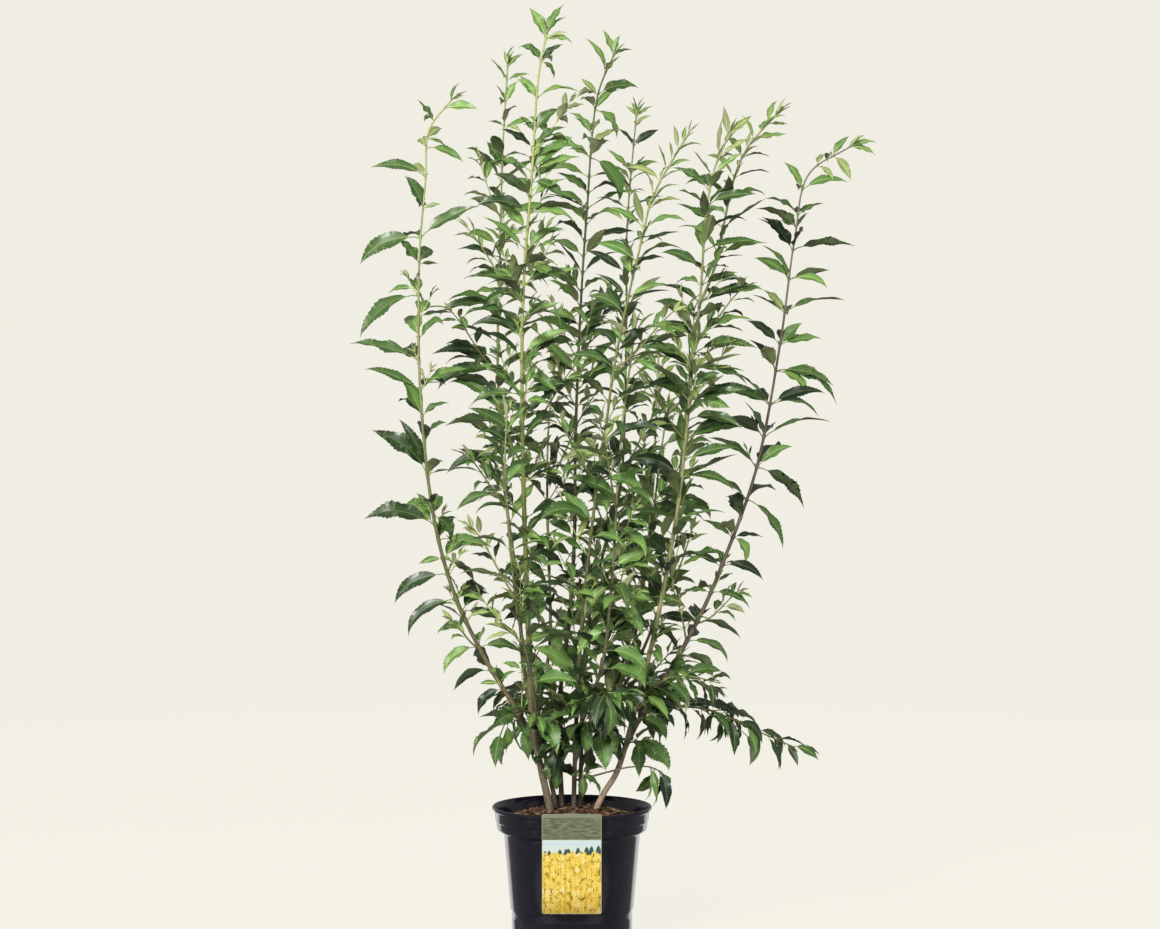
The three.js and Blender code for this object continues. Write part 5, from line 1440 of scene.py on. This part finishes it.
def make_soil():
    rng = np.random.default_rng(SEED + 7)
    rings, segs = 58, 132
    waves = [(rng.uniform(-1, 1, 2) * f, rng.uniform(0, 6.28), a) for f, a in ((0.10, 0.9), (0.16, 0.7), (0.26, 0.5), (0.42, 0.42), (0.7, 0.35), (0.9, 0.3)) for _ in range(3)]

    def top(x, y):
        r = np.hypot(x, y)
        z = mound(r)
        for k, ph, a in waves:
            z = z + a * np.sin(k[0] * x + k[1] * y + ph) * np.clip((128 - r) / 10, 0.25, 1)
        return z

    rr = np.linspace(0, 1, rings + 1)[1:] ** 0.9 * 128.2
    V = [(0, 0, float(top(np.array(0.0), np.array(0.0))))]
    th = np.arange(segs) / segs * 2 * math.pi
    for r in rr:
        x, y = r * np.cos(th), r * np.sin(th)
        z = top(x, y) + rng.normal(0, 0.45, segs)
        V.extend(np.stack([x, y, z], 1).tolist())
    faces = [(0, 1 + j, 1 + (j + 1) % segs) for j in range(segs)]
    for i in range(rings - 1):
        for j in range(segs):
            a, b = 1 + i * segs, 1 + (i + 1) * segs
            k = (j + 1) % segs
            faces.append((a + j, b + j, b + k, a + k))
    # sides and underside down to the floor of the pot
    last = 1 + (rings - 1) * segs
    for r, z in ((126.5, 206.0), (115.4, 190.0), (104.6, 67.0), (101.2, 4.2)):
        start = len(V)
        V.extend(np.stack([r * np.cos(th), r * np.sin(th), np.full(segs, z)], 1).tolist())
        for j in range(segs):
            k = (j + 1) % segs
            faces.append((last + j, start + j, start + k, last + k))
        last = start
    V.append((0, 0, 4.2))
    for j in range(segs):
        faces.append((last + j, len(V) - 1, last + (j + 1) % segs))
    B = Builder()
    B.put(np.array(V) * MM, faces, 0)
    # bark chips and straw lying on it
    feet = [np.array(l[3][0][:2]) for n, l in LIMBS.items() if not l[2]]
    kinds = []
    for _ in range(620):
        r = 126 * math.sqrt(rng.random())
        a = rng.uniform(0, 6.283)
        x, y = r * math.cos(a), r * math.sin(a)
        straw = rng.random() < (0.42 if x > 35 else 0.10)
        if straw:
            l, w, h, mat = rng.uniform(9, 26), rng.uniform(0.8, 1.6), rng.uniform(0.5, 0.9), int(rng.choice([4, 5]))
        else:
            l = rng.uniform(5, 15)
            w, h, mat = l * rng.uniform(0.35, 0.75), rng.uniform(1.2, 3.2), int(rng.choice([1, 1, 2, 2, 3]))
        if min(np.hypot(x - f[0], y - f[1]) for f in feet) < 6 + l * 0.3 or r + l / 2 > 127.5:
            continue
        yaw, pitch = rng.uniform(0, 6.283), rng.normal(0, 0.22)
        ex = np.array([math.cos(yaw) * math.cos(pitch), math.sin(yaw) * math.cos(pitch), math.sin(pitch)])
        ey = unit(np.array([-math.sin(yaw), math.cos(yaw), rng.normal(0, 0.25)]))
        ez = np.cross(ex, ey)
        c = np.array([x, y, float(top(np.array(x), np.array(y))) + h * 0.35])
        n = 6 if not straw else 5
        stations = np.linspace(-0.5, 0.5, 4 if not straw else 5)
        pts = []
        bow = rng.normal(0, 0.08)
        for q in stations:
            f = 1 - 0.45 * (abs(q) * 2) ** 2 * (0 if straw else 1)
            for j in range(n):
                b = j / n * 2 * math.pi
                jit = 1 + (rng.uniform(-0.22, 0.22) if not straw else 0)
                pts.append(c + ex * l * (q + rng.uniform(-0.04, 0.04) * (0 if straw else 1)) + ey * (w / 2 * math.cos(b) * f * jit + bow * l * (4 * q * q)) + ez * (h / 2 * math.sin(b) * f * jit))
        m_ = len(stations)
        fs = [(i * n + j, i * n + (j + 1) % n, (i + 1) * n + (j + 1) % n, (i + 1) * n + j) for i in range(m_ - 1) for j in range(n)]
        fs += [tuple(range(n - 1, -1, -1)), tuple(range((m_ - 1) * n, m_ * n))]
        B.put(np.array(pts) * MM, fs, mat, smooth=straw)
    mats = [soil_material(), chip_material("chip_red_brown", "#573c2f", "#71503f"), chip_material("chip_dark", "#33251d", "#4b362b"),
            chip_material("chip_pale", "#8a715c", "#a68c74"), chip_material("straw_pale", "#b79d6c", "#cbb488"), chip_material("straw_grey", "#92825f", "#ab9a76")]
    return B.make("potting_mix_mound", mats, slot="potting_mix", replaces=("potting_mix",))


def chip_material(name, a, b):
    m, t, p = nodes_of(name)
    tc = add(t, "ShaderNodeTexCoord")
    n = add(t, "ShaderNodeTexNoise", i_Scale=160.0, i_Detail=4.0)
    t.links.new(tc.outputs["Object"], n.inputs["Vector"])
    r = ramp(t, n.outputs["Fac"], [(0.35, srgb(a)), (0.65, srgb(b))])
    t.links.new(r.outputs[0], p.inputs["Base Color"])
    p.inputs["Roughness"].default_value = 0.85
    p.inputs["Specular IOR Level"].default_value = 0.25
    bump = add(t, "ShaderNodeBump", i_Strength=0.4, i_Distance=0.0006)
    t.links.new(n.outputs["Fac"], bump.inputs["Height"])
    t.links.new(bump.outputs[0], p.inputs["Normal"])
    return m


make_soil()


# ------------------------------------------------------------------ hang label
def label_material():
    """A printed card: a grey-green band, a pale band with hedge shapes, and a field of simple four-petalled yellow flowers. UV runs 0 to 1 over the card's front."""
    m, t, p = nodes_of("printed_label_card")
    uv = add(t, "ShaderNodeUVMap", uv_map="own")
    xyz = add(t, "ShaderNodeSeparateXYZ")
    t.links.new(uv.outputs[0], xyz.inputs[0])
    U, Vv = xyz.outputs["X"], xyz.outputs["Y"]

    def above(lim, soft=0.004):
        return maths(t, "MULTIPLY_ADD", maths(t, "SUBTRACT", Vv, lim), 1 / soft, 0.5, clamp=True)

    def flowers(scale, seed_shift, petal, core, spread, tones):
        """A scatter of four-petalled flowers: mask and colour."""
        mp = add(t, "ShaderNodeMapping")
        mp.inputs["Scale"].default_value = (scale, scale * 1.67, 1)
        mp.inputs["Location"].default_value = (seed_shift, seed_shift * 0.7, 0)
        t.links.new(uv.outputs[0], mp.inputs["Vector"])
        vo = add(t, "ShaderNodeTexVoronoi", voronoi_dimensions="2D", i_Scale=1.0, i_Randomness=spread)
        t.links.new(mp.outputs[0], vo.inputs["Vector"])
        d = add(t, "ShaderNodeVectorMath", operation="SUBTRACT")
        t.links.new(mp.outputs[0], d.inputs[0])
        t.links.new(vo.outputs["Position"], d.inputs[1])
        q = add(t, "ShaderNodeSeparateXYZ")
        t.links.new(d.outputs[0], q.inputs[0])
        sc = add(t, "ShaderNodeSeparateColor")
        t.links.new(vo.outputs["Color"], sc.inputs[0])
        ang = maths(t, "ARCTAN2", q.outputs["Y"], q.outputs["X"])
        ang = maths(t, "ADD", ang, maths(t, "MULTIPLY", sc.outputs[1], 6.28))
        lobe = maths(t, "MULTIPLY_ADD", maths(t, "ABSOLUTE", maths(t, "COSINE", maths(t, "MULTIPLY", ang, 2.0))), petal, core)
        size = maths(t, "MULTIPLY_ADD", sc.outputs[2], 0.35, 0.75)
        edge = maths(t, "MULTIPLY", lobe, size)
        inside = maths(t, "MULTIPLY_ADD", maths(t, "SUBTRACT", edge, vo.outputs["Distance"]), 22.0, 0.5, clamp=True)
        col = ramp(t, sc.outputs[0], tones)
        heart = maths(t, "MULTIPLY_ADD", maths(t, "SUBTRACT", 0.085, vo.outputs["Distance"]), 26.0, 0.5, clamp=True)
        return inside, mixed_colour(t, heart, col.outputs[0], srgb("#d9a034"))

    # field behind the flowers
    n1 = add(t, "ShaderNodeTexNoise", i_Scale=16.0, i_Detail=4.0)
    t.links.new(uv.outputs[0], n1.inputs["Vector"])
    field = ramp(t, n1.outputs["Fac"], [(0.34, srgb("#7c6f22")), (0.44, srgb("#c9a834")), (0.56, srgb("#edcd50")), (0.75, srgb("#f6e07a"))])
    a_in, a_col = flowers(15.0, 3.1, 0.26, 0.13, 0.9, [(0.0, srgb("#dcb23c")), (0.5, srgb("#efd058")), (1.0, srgb("#f6e27e"))])
    b_in, b_col = flowers(8.5, 11.7, 0.30, 0.15, 0.75, [(0.0, srgb("#e8c246")), (0.5, srgb("#f6dc6a")), (1.0, srgb("#faeca6"))])
    pic = mixed_colour(t, a_in, field.outputs[0], a_col)
    pic = mixed_colour(t, b_in, pic, b_col)
    # a few upright stems between them
    st = add(t, "ShaderNodeTexWave", wave_type="BANDS", bands_direction="X", i_Scale=3.6, i_Distortion=2.4, i_Detail=1.0)
    t.links.new(uv.outputs[0], st.inputs["Vector"])
    stem = ramp(t, st.outputs["Fac"], [(0.93, (0, 0, 0, 1)), (0.97, (1, 1, 1, 1))])
    pic = mixed_colour(t, maths(t, "MULTIPLY", stem.outputs[0], 0.35), pic, srgb("#8a6a24"))
    # deeper towards the foot of the bed
    depth = ramp(t, Vv, [(0.0, (0.62, 0.56, 0.42, 1)), (0.16, (0.90, 0.87, 0.80, 1)), (0.30, (1, 1, 1, 1))])
    pic = mixed_colour(t, 1.0, pic, depth.outputs[0], "MULTIPLY")
    # pale band with rounded hedge shapes
    hedge = add(t, "ShaderNodeTexVoronoi", voronoi_dimensions="1D", i_Scale=9.0, i_Randomness=0.8)
    t.links.new(U, hedge.inputs["W"])
    round_off = maths(t, "MULTIPLY", maths(t, "POWER", hedge.outputs["Distance"], 2.0), -0.34)
    crest = maths(t, "ADD", maths(t, "ADD", round_off, 0.626), maths(t, "MULTIPLY", U, 0.060))
    sky = ramp(t, Vv, [(0.58, srgb("#dde3cc")), (0.70, srgb("#c6dad8")), (0.77, srgb("#d6e6e4"))])
    hedge_in = maths(t, "MULTIPLY_ADD", maths(t, "SUBTRACT", crest, Vv), 160.0, 0.5, clamp=True)
    band = mixed_colour(t, hedge_in, sky.outputs[0], srgb("#3d5348"))
    wav = add(t, "ShaderNodeTexNoise", i_Scale=11.0, i_Detail=3.0)
    t.links.new(uv.outputs[0], wav.inputs["Vector"])
    line = maths(t, "MULTIPLY_ADD", wav.outputs["Fac"], 0.13, 0.545)
    in_band = maths(t, "MULTIPLY_ADD", maths(t, "SUBTRACT", Vv, line), 130.0, 0.5, clamp=True)
    pic = mixed_colour(t, in_band, pic, band)
    # header: a plain grey-green field with a lighter strip and a fine rule
    grain = add(t, "ShaderNodeTexNoise", i_Scale=7.0, i_Detail=4.0)
    stretch = add(t, "ShaderNodeMapping")
    stretch.inputs["Scale"].default_value = (1.0, 7.0, 1.0)
    t.links.new(uv.outputs[0], stretch.inputs["Vector"])
    t.links.new(stretch.outputs[0], grain.inputs["Vector"])
    soft = ramp(t, grain.outputs["Fac"], [(0.34, srgb("#52563f")), (0.50, srgb("#6a6e54")), (0.66, srgb("#84866c"))])
    head = mixed_colour(t, above(0.962), soft.outputs[0], srgb("#85876f"))
    rule = maths(t, "LESS_THAN", maths(t, "ABSOLUTE", maths(t, "SUBTRACT", Vv, 0.737)), 0.004)
    pic = mixed_colour(t, above(0.735), pic, head)
    pic = mixed_colour(t, rule, pic, srgb("#cfd0bd"))
    # white border of the print
    bx = maths(t, "MINIMUM", U, maths(t, "SUBTRACT", 1.0, U))
    by = Vv
    rim = maths(t, "MAXIMUM", maths(t, "LESS_THAN", bx, 0.009), maths(t, "LESS_THAN", by, 0.006))
    pic = mixed_colour(t, rim, pic, srgb("#a9a98a"))
    pic = mixed_colour(t, 1.0, pic, (0.80, 0.80, 0.82, 1), "MULTIPLY")
    t.links.new(pic, p.inputs["Base Color"])
    p.inputs["Roughness"].default_value = 0.34
    p.inputs["Specular IOR Level"].default_value = 0.45
    return m


def make_label():
    B = Builder()
    nx, nz = 24, 44
    half, top, bottom, thick = 50.5, 245.0, 76.0, 0.9
    xs = np.linspace(-half, half, nx + 1)
    corner = 3.2

    def front(x, z):
        """Where the card's front lies: nearly flat, bowed a little sideways, its foot lifted off the pot."""
        q = (top - z) / (top - bottom)
        return -140.55 - 0.45 * (1 - (x / half) ** 2) * (0.3 + 0.7 * q)

    rows = np.concatenate([np.linspace(top, top - corner, 5)[:-1], np.linspace(top - corner, bottom + corner, nz), np.linspace(bottom + corner, bottom, 5)[1:]])
    V, UVs = [], []
    for back in (0, 1):
        for z in rows:
            dz = max(0.0, corner - (top - z), corner - (z - bottom))
            cut = corner - math.sqrt(max(0.0, corner ** 2 - min(dz, corner) ** 2))
            for x in xs:
                xx = x * (half - cut) / half
                V.append((xx, front(xx, z) + thick * back, z))
                UVs.append(((xx + half) / (2 * half), (z - bottom) / (top - bottom)))
    n, w = len(rows), nx + 1
    faces, mats = [], []
    for i in range(n - 1):
        for j in range(nx):
            a, b = i * w + j, (i + 1) * w + j
            faces.append((a, b, b + 1, a + 1)); mats.append(0)
            a, b = a + n * w, b + n * w
            faces.append((a, a + 1, b + 1, b)); mats.append(1)
    o = n * w
    for i in range(n - 1):
        faces.append((i * w, i * w + o, (i + 1) * w + o, (i + 1) * w)); mats.append(1)
        faces.append((i * w + nx, (i + 1) * w + nx, (i + 1) * w + nx + o, i * w + nx + o)); mats.append(1)
    for j in range(nx):
        faces.append((j, j + 1, j + 1 + o, j + o)); mats.append(1)
        e = (n - 1) * w
        faces.append((e + j, e + j + o, e + j + 1 + o, e + j + 1)); mats.append(1)
    sharp = np.zeros(len(V), bool)
    g = np.arange(len(V)).reshape(2, n, w)
    for side in (0, 1):
        sharp[g[side, 0]] = sharp[g[side, -1]] = True
        sharp[g[side, :, 0]] = sharp[g[side, :, -1]] = True
    B.put(np.array(V) * MM, faces, mats, sharp)
    # the tab, bent over the rim in one piece with the card
    arc = [(-140.2, 243.6), (-140.1, 244.2)]
    path = [(-140.15, 240.5), (-140.15, 243.2)]
    c1, r1 = (-138.6, 243.2), 1.55
    for q in np.linspace(0, 1, 7)[1:]:
        a = math.pi - q * math.pi / 2
        path.append((c1[0] + r1 * math.cos(a), c1[1] + r1 * math.sin(a)))
    c2, r2 = (-132.0, 242.2), 2.55
    for q in np.linspace(0, 1, 8):
        a = math.pi / 2 - q * math.pi * 0.47
        path.append((c2[0] + r2 * math.cos(a), c2[1] + r2 * math.sin(a)))
    path.append((-129.75, 236.0))
    path.append((-129.95, 229.0))
    path = np.array(path)
    d = np.gradient(path, axis=0)
    d /= np.linalg.norm(d, axis=1)[:, None]
    nrm = np.stack([-d[:, 1], d[:, 0]], 1)
    hw, th = 12.0, 0.42
    ring = []
    Vt = []
    for (y, z), (ny, nz_) in zip(path, nrm):
        for x, sgn in ((-hw, 1), (hw, 1), (hw, -1), (-hw, -1)):
            Vt.append((x, y + ny * th * sgn, z + nz_ * th * sgn))
    fs = []
    for i in range(len(path) - 1):
        for j in range(4):
            k = (j + 1) % 4
            fs.append((i * 4 + j, i * 4 + k, (i + 1) * 4 + k, (i + 1) * 4 + j))
    fs += [(3, 2, 1, 0), tuple((len(path) - 1) * 4 + j for j in range(4))]
    B.put(np.array(Vt) * MM, fs, 1, np.ones(len(Vt), bool))
    UVs += [(0.5, 0.99)] * len(Vt)
    edge, t, p = nodes_of("label_card_back")
    tc = add(t, "ShaderNodeTexCoord")
    n_ = add(t, "ShaderNodeTexNoise", i_Scale=420.0, i_Detail=2.0)
    t.links.new(tc.outputs["Object"], n_.inputs["Vector"])
    r = ramp(t, n_.outputs["Fac"], [(0.3, srgb("#7c7e66")), (0.7, srgb("#8b8d74"))])
    t.links.new(r.outputs[0], p.inputs["Base Color"])
    p.inputs["Roughness"].default_value = 0.4
    return B.make("hang_label_card", [label_material(), edge], slot="hang_label", replaces=("hang_label",), uv=np.array(UVs))


make_label()


# ------------------------------------------------------------------ stage
def make_stage():
    """A seamless pale sweep: floor, curve and back wall."""
    prof = [(-14.0, 0.0), (5.2, 0.0)]
    for q in np.linspace(0, 1, 18):
        a = -math.pi / 2 + q * math.pi / 2
        prof.append((6.0 + 2.2 * math.cos(a), 2.2 + 2.2 * math.sin(a)))
    prof += [(8.2, 9.0)]
    V, F = [], []
    for x in (-14.0, 14.0):
        V += [(x, y, z) for y, z in prof]
    n = len(prof)
    F = [(i, n + i, n + i + 1, i + 1) for i in range(n - 1)]
    me = bpy.data.meshes.new("studio_sweep")
    me.from_pydata(V, [], F)
    me.polygons.foreach_set("use_smooth", np.ones(len(me.polygons), bool))
    m, t, p = nodes_of("studio_paper")
    p.inputs["Base Color"].default_value = (0.07, 0.068, 0.061, 1)
    p.inputs["Roughness"].default_value = 0.95
    p.inputs["Specular IOR Level"].default_value = 0.0
    p.inputs["Emission Color"].default_value = (0.912, 0.889, 0.797, 1)
    p.inputs["Emission Strength"].default_value = 0.92
    me.materials.append(m)
    ob = bpy.data.objects.new("studio_sweep", me)
    ob.visible_diffuse = False
    ob.visible_glossy = False
    scene.collection.objects.link(ob)


make_stage()

_tris = sum(len(p.vertices) - 2 for o in scene.objects if o.type == "MESH" and o.name.startswith(("leaves_", "stem_", "twigs_", "nursery", "potting_mix_", "hang_label_c")) for p in o.data.polygons)
print("leaves", counts["leaves"], "shoots", counts["shoots"], "triangles", _tris)
